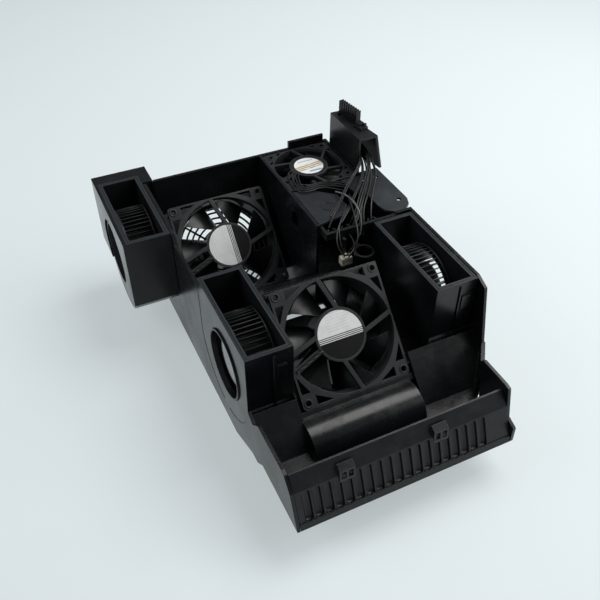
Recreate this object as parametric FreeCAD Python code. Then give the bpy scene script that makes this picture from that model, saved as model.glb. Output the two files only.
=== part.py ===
import FreeCAD, Part
import math
import os

# Cooling fan assembly for a workstation: a moulded chassis that carries three axial fans and three
# radial blowers. Millimetres, +Z up. The origin is on the resting face of the base, midway between the
# outer faces of the side walls, +X to the right and +Y towards the rear wall, away from the ribbed lip.

V = FreeCAD.Vector
X_AXIS = V(1, 0, 0)
Y_AXIS = V(0, 1, 0)
Z_AXIS = V(0, 0, 1)
ORIGIN = V(0, 0, 0)

# Chassis
HALF_WIDTH = 99.0
WALL = 2.5
RIM_Z = 117.0
PARTING_Z = 22.0
REAR_Y = 150.5
REAR_STEP_H = 7.0
REAR_STEP_X = (44.3, 81.0)
MID_WALL_Z = 108.0
SKIRT_INSET = 1.5
BASE_FRONT_Y = -57.0
BASE_REAR_Y = 136.0
GAP = 0.3
JOG_Y = 16.0
BAY_LEFT_X = 16.0
BAY_FRONT_Y = 25.0
BAY_RIGHT_X = 85.5
BAY_FLOOR_Z = 48.5
FLANGE_SEAT_Z = 112.0

# Trough and ribbed lip in front
FLOOR_Z = 33.5
SLOPE_TOP = (-90.0, 65.0)
TROUGH_REAR_Y = -121.5
LIP_BACK_Y = -152.0
LIP_TOP = (-155.0, 69.0)
LIP_LEDGE = (-163.5, 59.0)
LIP_FOOT = (-175.5, 31.0)
LIP_RIGHT_X = 80.0
LIP_WALL = 3.6
SLOT_PITCH = 7.5
SLOT_WIDTH = 5.7
SLOT_DEPTH = 2.0
SLOT_COUNT = 19
SLOT_FIRST_X = -87.0
SLOT_START = 0.5
SLOT_END = 23.0
BEAD_H = 1.0
CLIP_BOSS_X = (-56.8, 18.5)
DUCT_Y = -112.0
DUCT_Z = 30.0
DUCT_R = 20.0
DUCT_X = (-62.0, 32.0)
PLATE_TOP_Z = 70.0

# Radial blowers: outlets face up, flush with the rim
BLOWER_RIM_W = 36.6
BLOWER_RIM_L = 96.1
CASING_WALL = 1.9
HOUSING_WALL = 1.6
SCROLL_Z = 70.0
SCROLL_R = 48.0
INTAKE_R = 27.0
SNAP_H = 1.5
COLLAR_H = 1.6
DRUM_Z = 72.0
DRUM_R = 34.0
DRUM_BLADE_W = 6.0
DRUM_BLADE_T = 0.9
DRUM_BLADES = 38
DRUM_H = 22.0
DRUM_RING = 1.4
DRUM_GAP = 1.5
CUP_R = 17.0
CUP_T = 1.5
# name, left edge of the rim, front edge of the rim, side of the intake, shift of the drum along Y
BLOWERS = (
    ("a", -136.4, 67.2, -1, 4.0),
    ("b", -98.8, -91.3, -1, -4.0),
    ("c", 58.8, -86.3, 1, 4.0),
)
POCKET_A = {"left": -139.0, "rear": 177.0, "right": -89.5, "bottom": 51.0, "deck": 3.0}

# Axial fans
FLANGE_T = 3.5
FRAME_CORNER_R = 3.0
TUBE_WALL = 2.2
STRUT_W = 3.4
STRUT_T = 3.0
STRUT_START_DEG = 80.0
STRUT_TWIST_DEG = 16.0
LEAD_STRUT_DEG = 201.0
LEAD_STRUT_W = 4.6
HOLE_R = 2.15
BASE_T = 3.0
LABEL_T = 0.4
LABEL_SINK = 0.6
SHAFT_R = 1.5
SHAFT_FIT = 0.05
BEARING_R = 4.0
TIP_GAP = 1.0
ROTOR_GAP = 1.0
ROTOR_CUP_T = 1.4
BLADE_T = 1.5
LARGE = {"size": 92.0, "depth": 25.0, "bore": 43.6, "hub": 21.0, "label": 18.8, "pitch": 82.5,
         "blades": 7, "struts": 4, "strut_w": STRUT_W}
SMALL = {"size": 66.0, "depth": 20.0, "bore": 31.0, "hub": 18.0, "label": 16.6, "pitch": 53.5,
         "blades": 9, "struts": 6, "strut_w": 2.4}
TILT = 45.0
FAN_1 = V(-39.5, 97.0, 64.5)
FAN_2 = V(-11.3, -67.1, 84.4)
FAN_3 = V(49.5, 114.5, 116.0)
BULKHEAD_HOLE = 42.5
GUARD_WIRE = 1.6
GUARD_RINGS = 4

# Tower, flange and small parts on top of the right side
TOWER_TOP_Z = 148.0
TOWER_FOOT_Z = 113.0
TOWER_WALL = 2.0
TOWER_Y = (87.0, 143.0)
TOWER_X = 85.8
TOWER_TOP_X = (104.7, 97.0)
TOWER_FOOT_X = (111.8, 101.5)
TOWER_BACK_Z = 128.5
PLATE_T = 2.3
CONNECTOR_L = 27.0
CONNECTOR_W = 5.0
CONNECTOR_H = 11.5
CONNECTOR_SLOTS = 8
WIRE_R = 0.8


def box(x0, x1, y0, y1, z0, z1):
    """Block between two corners."""
    return Part.makeBox(x1 - x0, y1 - y0, z1 - z0, V(x0, y0, z0))


def prism(points, direction):
    """Closed polygon pushed along a vector."""
    wire = Part.makePolygon(list(points) + [points[0]])
    return Part.Face(wire).extrude(direction)


def prism_x(points, x0, x1):
    """Side profile of (y, z) points carried from x0 to x1."""
    return prism([V(x0, y, z) for y, z in points], V(x1 - x0, 0, 0))


def prism_z(points, z0, z1):
    """Plan of (x, y) points carried from z0 to z1."""
    return prism([V(x, y, z0) for x, y in points], V(0, 0, z1 - z0))


def cyl(radius, x, y, z0, z1):
    """Upright cylinder."""
    return Part.makeCylinder(radius, z1 - z0, V(x, y, z0), Z_AXIS)


def cyl_x(radius, x0, x1, y, z):
    """Cylinder along X."""
    return Part.makeCylinder(radius, x1 - x0, V(x0, y, z), X_AXIS)


def union(parts):
    """One shape out of several that touch or overlap."""
    shape = parts[0]
    if len(parts) > 1:
        shape = shape.multiFuse(parts[1:])
    return shape.removeSplitter()


def cut(shape, tools):
    """Shape with every tool taken away."""
    return shape.cut(tools) if tools else shape


def slab_x(start, end, thickness, x0, x1):
    """Sloped plate whose outer face runs between two (y, z) points; the thickness lies to its right."""
    run = math.hypot(end[0] - start[0], end[1] - start[1])
    side_y = (end[1] - start[1]) / run * thickness
    side_z = -(end[0] - start[0]) / run * thickness
    points = [start, end, (end[0] + side_y, end[1] + side_z), (start[0] + side_y, start[1] + side_z)]
    return prism_x(points, x0, x1)


def bar(start, end, width, z0, z1):
    """Straight flat bar in plan between two (x, y) points."""
    run = math.hypot(end[0] - start[0], end[1] - start[1])
    side_x = -(end[1] - start[1]) / run * width / 2
    side_y = (end[0] - start[0]) / run * width / 2
    points = [
        (start[0] + side_x, start[1] + side_y),
        (end[0] + side_x, end[1] + side_y),
        (end[0] - side_x, end[1] - side_y),
        (start[0] - side_x, start[1] - side_y),
    ]
    return prism_z(points, z0, z1)


def polar(radius, degrees):
    """Plan point at a radius and an angle."""
    return (radius * math.cos(math.radians(degrees)), radius * math.sin(math.radians(degrees)))


def rounded_plate(half, corner, z0, z1):
    """Square plate with rounded upright corners, centred on the axis."""
    plate = box(-half, half, -half, half, z0, z1)
    corners = [e for e in plate.Edges if abs(e.Vertexes[0].Z - e.Vertexes[-1].Z) > (z1 - z0) / 2]
    return plate.makeFillet(corner, corners)


def placed(shape, centre, tilt):
    """Copy turned about X by the tilt and moved so that its front face is centred on a point."""
    result = shape.copy()
    result.rotate(ORIGIN, X_AXIS, tilt)
    result.translate(centre)
    return result


# Axial fans, built face up with the front face on z = 0

def fan_frame(fan):
    """Frame with open corners, tangential struts and the motor base with its bearing tube."""
    half = fan["size"] / 2
    depth = fan["depth"]
    bore = fan["bore"]
    front = rounded_plate(half, FRAME_CORNER_R, -FLANGE_T, 0)
    back = rounded_plate(half, FRAME_CORNER_R, -depth, -depth + FLANGE_T)
    tube = cyl(half - GAP, 0, 0, -depth, 0)
    body = union([front, back, tube])
    reach = fan["pitch"] / 2
    inset = half - 1.8
    tools = [cyl(bore, 0, 0, -depth - 1, 1)]
    tools.append(Part.makeCone(bore, bore + TUBE_WALL / 2, FLANGE_T, V(0, 0, -FLANGE_T + 0.01), Z_AXIS))
    pocket = [(inset, half * 0.44), (inset, reach - 7.2), (half * 0.8, reach - 7.2)]
    for sx in (-1, 1):
        for sy in (-1, 1):
            tools.append(cyl(HOLE_R, sx * reach, sy * reach, -depth - 1, 1))
            tools.append(prism_z([(sx * x, sy * y) for x, y in pocket], -FLANGE_T - 1, 1))
            tools.append(prism_z([(sx * y, sy * x) for x, y in pocket], -FLANGE_T - 1, 1))
    body = cut(body, tools)
    hub = fan["hub"]
    parts = [cyl(hub, 0, 0, -BASE_T, 0)]
    for index in range(fan["struts"]):
        start = STRUT_START_DEG + index * 360.0 / fan["struts"]
        parts.append(bar(polar(hub - 1, start), polar(bore + 1.2, start + STRUT_TWIST_DEG),
                         fan["strut_w"], -STRUT_T, 0))
    parts.append(bar(polar(hub - 1, LEAD_STRUT_DEG), polar(bore + 1.2, LEAD_STRUT_DEG),
                     LEAD_STRUT_W, -STRUT_T, -0.6))
    parts.append(cyl(BEARING_R, 0, 0, -depth + 5.0, -BASE_T / 2))
    spider = union(parts)
    spider = spider.cut(cyl(fan["label"] + 0.2, 0, 0, -LABEL_SINK, 1))
    spider = spider.cut(cyl(SHAFT_R + SHAFT_FIT, 0, 0, -depth - 1, -BASE_T + 1))
    return union([body, spider])


def blade(fan, angle, top, bottom):
    """One swept and pitched blade between the hub and the bore."""
    root_r = fan["hub"] - 2.2
    tip_r = fan["bore"] - TIP_GAP
    height = top - bottom
    middle = (top + bottom) / 2
    sections = []
    for radius, share, sweep in ((root_r, 0.50, 0.0), (tip_r + 4.0, 0.84, 20.0)):
        arc = 2 * math.pi * radius / fan["blades"] * share
        half_run = arc / 2
        camber = arc * 0.10
        turn = math.radians(angle + sweep)
        radial = V(math.cos(turn), math.sin(turn), 0)
        along = V(-math.sin(turn), math.cos(turn), 0)
        centre = radial * radius + V(0, 0, middle)
        lead = centre + along * half_run + V(0, 0, height / 2 - BLADE_T)
        trail = centre - along * half_run - V(0, 0, height / 2 - BLADE_T)
        crown = centre + along * (-camber) + V(0, 0, camber)
        lift = V(0, 0, BLADE_T)
        upper = Part.Arc(lead + lift, crown + lift, trail + lift).toShape()
        lower = Part.Arc(trail, crown, lead).toShape()
        wire = Part.Wire([upper, Part.makeLine(trail + lift, trail), lower, Part.makeLine(lead, lead + lift)])
        sections.append(wire)
    return Part.makeLoft(sections, True, True)


def fan_rotor(fan):
    """Hub cup, open towards the motor base, with the blades around it."""
    depth = fan["depth"]
    top = -BASE_T - ROTOR_GAP
    bottom = -depth + ROTOR_GAP
    outer = fan["hub"] - 1.2
    cup = cyl(outer, 0, 0, bottom, top).cut(cyl(outer - ROTOR_CUP_T, 0, 0, bottom + ROTOR_CUP_T, top + 1))
    ring = cyl(fan["bore"] - TIP_GAP, 0, 0, bottom, top)
    ring = ring.cut(cyl(outer - ROTOR_CUP_T / 2, 0, 0, bottom - 1, top + 1))
    blades = []
    for index in range(fan["blades"]):
        solid = blade(fan, index * 360.0 / fan["blades"], top, bottom)
        blades.append(solid.common(ring))
    boss = cyl(SHAFT_R + 1.6, 0, 0, bottom, bottom + 3.0)
    rotor = cup.multiFuse([boss] + blades)
    return rotor.cut(cyl(SHAFT_R, 0, 0, bottom - 1, top))


def fan_shaft(fan):
    """Steel spindle pressed in the cup and running in the bearing tube."""
    return cyl(SHAFT_R, 0, 0, -fan["depth"] + ROTOR_GAP, -BASE_T)


def fan_stator(fan):
    """Four-pole stator on the bearing tube, inside the cup."""
    reach = fan["hub"] - 1.2 - ROTOR_CUP_T - 1.0
    z0 = -fan["depth"] + ROTOR_GAP + ROTOR_CUP_T + 4.0
    z1 = -BASE_T
    disc = cyl(reach, 0, 0, z0, z1)
    slots = []
    for index in range(4):
        x, y = polar(reach * 0.72, 45 + 90 * index)
        slots.append(cyl(reach * 0.3, x, y, z0 - 1, z1 + 1))
    return cut(disc, slots + [cyl(BEARING_R, 0, 0, z0 - 1, z1 + 1)])


def fan_label(fan):
    """Blank round plate in the recess of the motor base."""
    return cyl(fan["label"], 0, 0, -LABEL_SINK, -LABEL_SINK + LABEL_T)


# Radial blowers, built with the rim's left front corner at x = 0, y = 0 and heights as in the chassis

def scroll_profile(inset, top):
    """Side outline: straight walls from the rim, then the round belly of the scroll."""
    middle = BLOWER_RIM_L / 2
    half = middle - inset
    radius = SCROLL_R - inset
    half = min(half, radius)
    drop = math.sqrt(max(radius * radius - half * half, 0.0))
    left = V(0, middle - half, SCROLL_Z - drop)
    right = V(0, middle + half, SCROLL_Z - drop)
    belly = Part.Arc(left, V(0, middle, SCROLL_Z - radius), right).toShape()
    rim_left = V(0, middle - half, top)
    rim_right = V(0, middle + half, top)
    edges = [Part.makeLine(rim_left, left), belly, Part.makeLine(right, rim_right),
             Part.makeLine(rim_right, rim_left)]
    return Part.Face(Part.Wire(edges))


def scroll_body(inset, x0, x1, top):
    """Scroll outline, drawn in by an inset, between two side planes."""
    face = scroll_profile(inset, top)
    face.translate(V(x0, 0, 0))
    return face.extrude(V(x1 - x0, 0, 0))


def intake_side(side, depth_in):
    """Range in x of a layer on the intake side of a module, from one depth to another."""
    first, last = depth_in
    if side < 0:
        return first, last
    return BLOWER_RIM_W - last, BLOWER_RIM_W - first


def blower_casing(side, shift):
    """Open-topped pocket of the chassis around a blower, with the round intake."""
    outer = scroll_body(0.0, 0.0, BLOWER_RIM_W, RIM_Z)
    if side > 0 or shift < 0:
        # Rib and snap block on the front face
        parts = [outer, box(BLOWER_RIM_W - 15.6, BLOWER_RIM_W - 14.2, -SNAP_H + 0.3, 1, 52.0, RIM_Z - 4)]
        parts.append(box(BLOWER_RIM_W - 13.0, BLOWER_RIM_W - 5.5, -SNAP_H, 1, RIM_Z - 26, RIM_Z - 14))
        outer = union(parts)
    inner = scroll_body(CASING_WALL, CASING_WALL, BLOWER_RIM_W - CASING_WALL, RIM_Z + 1)
    x0, x1 = intake_side(side, (-COLLAR_H - 1, CASING_WALL + 1))
    y = BLOWER_RIM_L / 2 + shift
    return outer.cut([inner, cyl_x(INTAKE_R + 2.0, x0, x1, y, DRUM_Z)])


def blower_housing(side, shift):
    """Blower's own shell: outlet on top, intake hole in one side and the motor plate on the other."""
    skin = CASING_WALL + GAP
    outer = scroll_body(skin, skin, BLOWER_RIM_W - skin, RIM_Z)
    wall = skin + HOUSING_WALL
    inner = scroll_body(wall, wall, BLOWER_RIM_W - wall, RIM_Z + 1)
    x0, x1 = intake_side(side, (0, wall + 1))
    y = BLOWER_RIM_L / 2 + shift
    shell = outer.cut([inner, cyl_x(INTAKE_R, x0, x1, y, DRUM_Z)])
    c0, c1 = intake_side(side, (skin - COLLAR_H - CASING_WALL, wall))
    collar = cyl_x(INTAKE_R + 1.6, c0, c1, y, DRUM_Z).cut(cyl_x(INTAKE_R, c0 - 1, c1 + 1, y, DRUM_Z))
    m0, m1 = intake_side(side, (BLOWER_RIM_W - wall - 12.0, BLOWER_RIM_W - wall + HOUSING_WALL / 2))
    tube = cyl_x(BEARING_R, m0, m1, y, DRUM_Z)
    shell = union([shell, collar, tube])
    s0, s1 = intake_side(side, (BLOWER_RIM_W - wall - 13.0, BLOWER_RIM_W - wall + HOUSING_WALL / 4))
    return shell.cut(cyl_x(SHAFT_R + SHAFT_FIT, s0, s1, y, DRUM_Z))


def blower_impeller(side, shift):
    """Squirrel-cage wheel: curved blades between an end ring and a back plate with the hub cup."""
    wall = CASING_WALL + GAP + HOUSING_WALL
    back = BLOWER_RIM_W - wall - DRUM_GAP
    y = BLOWER_RIM_L / 2 + shift
    inner_r = DRUM_R - DRUM_BLADE_W
    r0, r1 = intake_side(side, (back - DRUM_H, back - DRUM_H + DRUM_RING))
    p0, p1 = intake_side(side, (back - DRUM_RING, back))
    b0, b1 = intake_side(side, (back - DRUM_H + DRUM_RING / 2, back - DRUM_RING / 2))
    ring = cyl_x(DRUM_R, r0, r1, 0, 0).cut(cyl_x(inner_r, r0 - 1, r1 + 1, 0, 0))
    plate = cyl_x(DRUM_R, p0, p1, 0, 0)
    c0, c1 = intake_side(side, (back - DRUM_H * 0.66, back))
    cup = cyl_x(CUP_R, c0, c1, 0, 0)
    h0, h1 = intake_side(side, (back - DRUM_H * 0.66 + CUP_T, back + 1))
    blades = []
    for index in range(DRUM_BLADES):
        turn = index * 360.0 / DRUM_BLADES
        inner_y, inner_z = polar(inner_r + 0.4, turn)
        outer_y, outer_z = polar(DRUM_R - 0.3, turn + side * 6.0)
        bulge_y, bulge_z = polar(DRUM_R - DRUM_BLADE_W / 2, turn + side * 4.6)
        thick = math.degrees(DRUM_BLADE_T / DRUM_R)
        inner_y2, inner_z2 = polar(inner_r + 0.4, turn + thick)
        outer_y2, outer_z2 = polar(DRUM_R - 0.3, turn + side * 6.0 + thick)
        bulge_y2, bulge_z2 = polar(DRUM_R - DRUM_BLADE_W / 2, turn + side * 4.6 + thick)
        first = Part.Arc(V(b0, inner_y, inner_z), V(b0, bulge_y, bulge_z), V(b0, outer_y, outer_z))
        second = Part.Arc(V(b0, outer_y2, outer_z2), V(b0, bulge_y2, bulge_z2), V(b0, inner_y2, inner_z2))
        wire = Part.Wire([
            first.toShape(),
            Part.makeLine(V(b0, outer_y, outer_z), V(b0, outer_y2, outer_z2)),
            second.toShape(),
            Part.makeLine(V(b0, inner_y2, inner_z2), V(b0, inner_y, inner_z)),
        ])
        blades.append(Part.Face(wire).extrude(V(b1 - b0, 0, 0)))
    wheel = union([ring, plate, cup] + blades)
    wheel = wheel.cut(cyl_x(CUP_R - CUP_T, h0, h1, 0, 0))
    boss = cyl_x(SHAFT_R + 1.6, *intake_side(side, (back - DRUM_H * 0.66 + CUP_T / 2,
                                                    back - DRUM_H * 0.66 + CUP_T + 1.4)), 0, 0)
    wheel = wheel.fuse(boss)
    wheel = wheel.cut(cyl_x(SHAFT_R, *intake_side(side, (back - DRUM_H * 0.66 + CUP_T / 2, back)), 0, 0))
    wheel.translate(V(0, y, DRUM_Z))
    return wheel


def blower_shaft(side, shift):
    """Steel spindle of the wheel, running in the tube of the motor plate."""
    wall = CASING_WALL + GAP + HOUSING_WALL
    back = BLOWER_RIM_W - wall - DRUM_GAP
    x0, x1 = intake_side(side, (back - DRUM_H * 0.66 + CUP_T / 2, BLOWER_RIM_W - wall))
    return cyl_x(SHAFT_R, x0, x1, BLOWER_RIM_L / 2 + shift, DRUM_Z)


def blower_cap(side, shift):
    """Blank round plate on the hub cup, seen through the intake."""
    wall = CASING_WALL + GAP + HOUSING_WALL
    face = BLOWER_RIM_W - wall - DRUM_GAP - DRUM_H * 0.66
    x0, x1 = intake_side(side, (face - LABEL_T, face))
    return cyl_x(CUP_R - 1.5, x0, x1, BLOWER_RIM_L / 2 + shift, DRUM_Z)


# Chassis

def base_shell():
    """Skirted lower shell with ribs and the duct outlets in its floor."""
    half = HALF_WIDTH - SKIRT_INSET
    rear = REAR_Y - SKIRT_INSET
    slope_y = -106.0
    outline = [(rear, PARTING_Z), (rear, 14.0), (BASE_REAR_Y, 0.0), (BASE_FRONT_Y, 0.0),
               (-89.7, 14.5), (slope_y, PARTING_Z)]
    outer = prism_x(outline, -half, half)
    corner_x = BAY_RIGHT_X - SKIRT_INSET
    corner_y = JOG_Y - SKIRT_INSET
    outer = outer.cut(box(corner_x, half + 1, corner_y, rear + 1, -1.0, PARTING_Z + 1))
    inside = [(rear - WALL, PARTING_Z + 1), (rear - WALL, 15.0), (BASE_REAR_Y - 1.0, WALL),
              (BASE_FRONT_Y + 0.5, WALL), (-88.5, 17.0), (slope_y + 6.0, PARTING_Z + 1)]
    hollow = prism_x(inside, -half + WALL, half - WALL)
    hollow = hollow.cut(box(corner_x - WALL, half + 1, corner_y - WALL, rear + 1, -1.0, PARTING_Z + 2))
    shell = outer.cut(hollow)
    outlets = [
        box(-84.0, 8.0, 62.0, 130.0, -1.0, WALL + 1),
        box(-58.0, 35.0, -50.0, -6.0, -1.0, WALL + 1),
        box(-58.0, 35.0, 6.0, 50.0, -1.0, WALL + 1),
        box(22.0, 78.0, 84.0, 130.0, -1.0, WALL + 1),
        box(46.0, 90.0, -50.0, -6.0, -1.0, WALL + 1),
        box(46.0, 78.0, 6.0, 50.0, -1.0, WALL + 1),
    ]
    shell = shell.cut(outlets)
    ribs = []
    for rib_y in (-54.0, 2.0, 56.0):
        rib_end = half if rib_y < corner_y else corner_x
        ribs.append(box(-half + WALL / 2, rib_end - WALL / 2, rib_y - 0.9, rib_y + 0.9, WALL / 2, 12.0))
    ribs.append(box(BAY_LEFT_X - WALL, BAY_LEFT_X, 56.0, rear - WALL / 2, WALL / 2, PARTING_Z))
    return union([shell] + ribs)


def fan_local(fan_centre):
    """Function that gives the (y, z) place of a point on a tilted fan's axes."""
    turn = math.radians(TILT)

    def point(up, out):
        return (fan_centre.y + up * math.cos(turn) - out * math.sin(turn),
                fan_centre.z + up * math.sin(turn) + out * math.cos(turn))
    return point


def bulkhead(centre, x0, x1, low, high):
    """Sloped wall behind a tilted fan with its round opening."""
    depth = LARGE["depth"] + GAP
    half = LARGE["size"] / 2 + GAP
    plate = box(x0 - centre.x, x1 - centre.x, low, high, -depth - WALL, -depth)
    plate = plate.cut(cyl(BULKHEAD_HOLE, 0, 0, -depth - WALL - 1, -depth + 1))
    sill = box(x0 - centre.x, x1 - centre.x, -half - 2 * WALL, -half, -depth - WALL, 0)
    return placed(union([plate, sill]), centre, TILT)


def cheek(centre, side, low, high):
    """Side guide beside a tilted fan."""
    half = LARGE["size"] / 2 + GAP
    depth = LARGE["depth"] + GAP
    x0, x1 = (half, half + WALL) if side > 0 else (-half - WALL, -half)
    return placed(box(x0, x1, low, high, -depth - WALL, -6.0), centre, TILT)


def fan_tray():
    """Upper moulding: walls, sloped fan bulkheads, deck, trough floor, duct bulge and side plates."""
    left = -HALF_WIDTH
    right = HALF_WIDTH
    inner_left = left + WALL
    rear_in = REAR_Y - WALL
    casing_b_rear = BLOWERS[1][2] + BLOWER_RIM_L + GAP
    casing_a_front = BLOWERS[0][2]
    casing_b_right = BLOWERS[1][1] + BLOWER_RIM_W + GAP
    parts = []
    # Left wall, low between the two pockets and full height behind them
    parts.append(prism_x([(REAR_Y, PARTING_Z), (REAR_Y, RIM_Z), (casing_a_front, RIM_Z),
                          (casing_a_front - 6, MID_WALL_Z), (casing_b_rear + 4, MID_WALL_Z),
                          (casing_b_rear, RIM_Z - 4), (-100, 60), (-110, PLATE_TOP_Z), (-150, PLATE_TOP_Z),
                          (-154, PLATE_TOP_Z - 1), LIP_LEDGE, LIP_FOOT, (-116, LIP_FOOT[1]),
                          (-106, PARTING_Z)], left, inner_left))
    # Rear wall with a raised strip over the small fan
    rear_wall = box(left, BAY_RIGHT_X, rear_in, REAR_Y, PARTING_Z, RIM_Z)
    step = box(REAR_STEP_X[0], REAR_STEP_X[1], rear_in, REAR_Y, RIM_Z - 1, RIM_Z + REAR_STEP_H)
    parts.append(union([rear_wall, step]).cut(box(-86.0, 8.0, rear_in - 1, REAR_Y + 1, 25.0, 70.0)))
    # Walls of the small fan's bay and of the cable bay
    parts.append(box(BAY_LEFT_X - WALL, BAY_LEFT_X, BAY_FRONT_Y, rear_in + 1, PARTING_Z, RIM_Z))
    duct_y = FAN_3.y - SMALL["size"] / 2 - GAP
    bay_right = BAY_RIGHT_X - WALL
    parts.append(box(bay_right, BAY_RIGHT_X, duct_y - WALL, rear_in + 1, PARTING_Z, RIM_Z))
    parts.append(box(bay_right, BAY_RIGHT_X, JOG_Y - WALL, duct_y, PARTING_Z, FLANGE_SEAT_Z))
    parts.append(box(BAY_LEFT_X - 1, bay_right + 1, duct_y - WALL, duct_y, PARTING_Z, RIM_Z - PLATE_T - 1.2))
    ledge_z = FAN_3.z - SMALL["depth"] - GAP
    ledge = box(BAY_LEFT_X - 1, bay_right + 1, duct_y - 1, rear_in + 1, ledge_z - WALL, ledge_z)
    parts.append(ledge.cut(cyl(SMALL["bore"] - 1, FAN_3.x, FAN_3.y, ledge_z - WALL - 1, ledge_z + 1)))
    parts.append(box(bay_right, right, JOG_Y - WALL, JOG_Y, PARTING_Z, RIM_Z))
    # Right wall with its leaning front edge
    parts.append(prism_x([(JOG_Y, PARTING_Z), (JOG_Y, RIM_Z), (-83, RIM_Z), (-94.4, 112), (-104.4, 64.6),
                          (-109.4, 49), (-112, LIP_FOOT[1]), (-106, PARTING_Z)], right - WALL, right))
    # Bulkheads and guides of the tilted fans
    left_2 = casing_b_right
    right_2 = FAN_2.x + LARGE["size"] / 2 + GAP + WALL
    parts.append(bulkhead(FAN_2, left_2, right_2, -LARGE["size"] / 2 - 1, LARGE["size"] / 2))
    parts.append(cheek(FAN_2, 1, -LARGE["size"] / 2 - GAP, LARGE["size"] / 2))
    parts.append(cheek(FAN_2, -1, -LARGE["size"] / 2 - GAP, LARGE["size"] / 2))
    wall_1 = bulkhead(FAN_1, inner_left - 1, BAY_LEFT_X - 1, -LARGE["size"] / 2 - 1, LARGE["size"] / 2)
    parts.append(wall_1)
    # Deck between the fans, falling towards the rear
    local_2 = fan_local(FAN_2)
    local_1 = fan_local(FAN_1)
    deck_top = local_2(LARGE["size"] / 2 - 1, -LARGE["depth"] - GAP)
    deck_foot = local_1(-LARGE["size"] / 2 - GAP - WALL, -0.5)
    deck = slab_x(deck_foot, deck_top, WALL, inner_left - 1, BAY_LEFT_X - 1)
    keep_out = box(left - 1, casing_b_right, -120, casing_b_rear, 0, 200)
    parts.append(deck.cut(keep_out))
    # Wall below the deck along the open side of the cable bay and the floor of that bay
    parts.append(box(right_2 - WALL, right_2, SLOPE_TOP[0] + 6, BAY_FRONT_Y + 1, PARTING_Z, BAY_FLOOR_Z + 8))
    casing_c_left = BLOWERS[2][1] - GAP
    casing_c_front = BLOWERS[2][2] - GAP
    casing_c_rear = BLOWERS[2][2] + BLOWER_RIM_L + GAP
    floor = box(BAY_LEFT_X - 1, bay_right + 1, casing_c_front, duct_y, BAY_FLOOR_Z - WALL, BAY_FLOOR_Z)
    floor = floor.cut([box(casing_c_left, right, casing_c_front - 1, casing_c_rear, 0, 200),
                       box(0, right_2 - WALL / 2, -150, BAY_FRONT_Y, 0, 200)])
    parts.append(floor)
    # Sloped front panels beside the duct, the trough floor and the bulge of the duct
    for x0, x1 in ((inner_left - 1, casing_b_right + 1), (right_2 - 1, right - 1)):
        panel = slab_x((TROUGH_REAR_Y, FLOOR_Z), SLOPE_TOP, WALL, x0, x1)
        parts.append(panel.cut(box(left - 1, casing_b_right, BLOWERS[1][2] - GAP - SNAP_H, 0, 0, 200)))
    sill_y, sill_z = local_2(-LARGE["size"] / 2 - GAP - WALL, 0)
    parts.append(box(inner_left - 1, LIP_RIGHT_X - 1, LIP_BACK_Y, TROUGH_REAR_Y + 2, LIP_FOOT[1], FLOOR_Z))
    shell = cyl_x(DUCT_R, DUCT_X[0], DUCT_X[1], DUCT_Y, DUCT_Z)
    hollow = cyl_x(DUCT_R - WALL, DUCT_X[0] + WALL, DUCT_X[1] - WALL, DUCT_Y, DUCT_Z)
    below = box(-200, 200, -200, 200, -50, LIP_FOOT[1])
    parts.append(slab_x((DUCT_Y + 3, DUCT_Z + DUCT_R - 1), (sill_y + 1, sill_z - 1), WALL, DUCT_X[0], DUCT_X[1]))
    parts.append(box(LIP_RIGHT_X - WALL, right - 1, -128, -106, LIP_FOOT[1], FLOOR_Z))
    # Right side plate and the web that joins it to the right wall
    parts.append(prism_x([(-127, 72), (-130, 75), (-156, 75), (-160, 74), (-166, 48.5), (-173, 46),
                          (-175, 45), (-175.5, LIP_FOOT[1]), (-136, LIP_FOOT[1])],
                         LIP_RIGHT_X - WALL, LIP_RIGHT_X))
    web = prism_z([(right - WALL, -104), (right, -106), (LIP_RIGHT_X, -131), (LIP_RIGHT_X - WALL, -129)],
                  LIP_FOOT[1], 64.0)
    parts.append(web)
    tray = union(parts)
    tray = tray.cut([hollow, below.common(box(-62, 32, -134, -92, 0, LIP_FOOT[1]))])
    tray = union([tray, shell.cut([hollow, below])])
    openings = []
    for name, x, y, side, shift in BLOWERS:
        openings.append(casing_space(name, x, y))
        if side > 0:
            intake_y = y + BLOWER_RIM_L / 2 + shift
            openings.append(cyl_x(INTAKE_R + 2.0, right - WALL - 1, right + 1, intake_y, DRUM_Z))
    openings.append(box(-200, 200, -106.0, 200, -50, PARTING_Z))
    # Arched opening for the lead of the tilted rear fan
    openings.append(box(BAY_LEFT_X - WALL - 1, BAY_LEFT_X + 1, 62.0, 74.0, 88.0, 98.0))
    openings.append(cyl_x(6.0, BAY_LEFT_X - WALL - 1, BAY_LEFT_X + 1, 68.0, 98.0))
    return tray.cut(openings)


def casing_space(name, x, y):
    """Space that a pocket takes out of the tray, with the moulding clearance."""
    outer = scroll_body(-GAP, -GAP, BLOWER_RIM_W + GAP, RIM_Z + 10)
    outer.translate(V(x, y, 0))
    if name == "a":
        outer = union([outer, box(POCKET_A["left"] - 1, POCKET_A["right"] + GAP, REAR_Y - WALL - 1,
                                  POCKET_A["rear"] + 1, POCKET_A["bottom"] - GAP, RIM_Z + 10)])
    return outer


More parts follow.
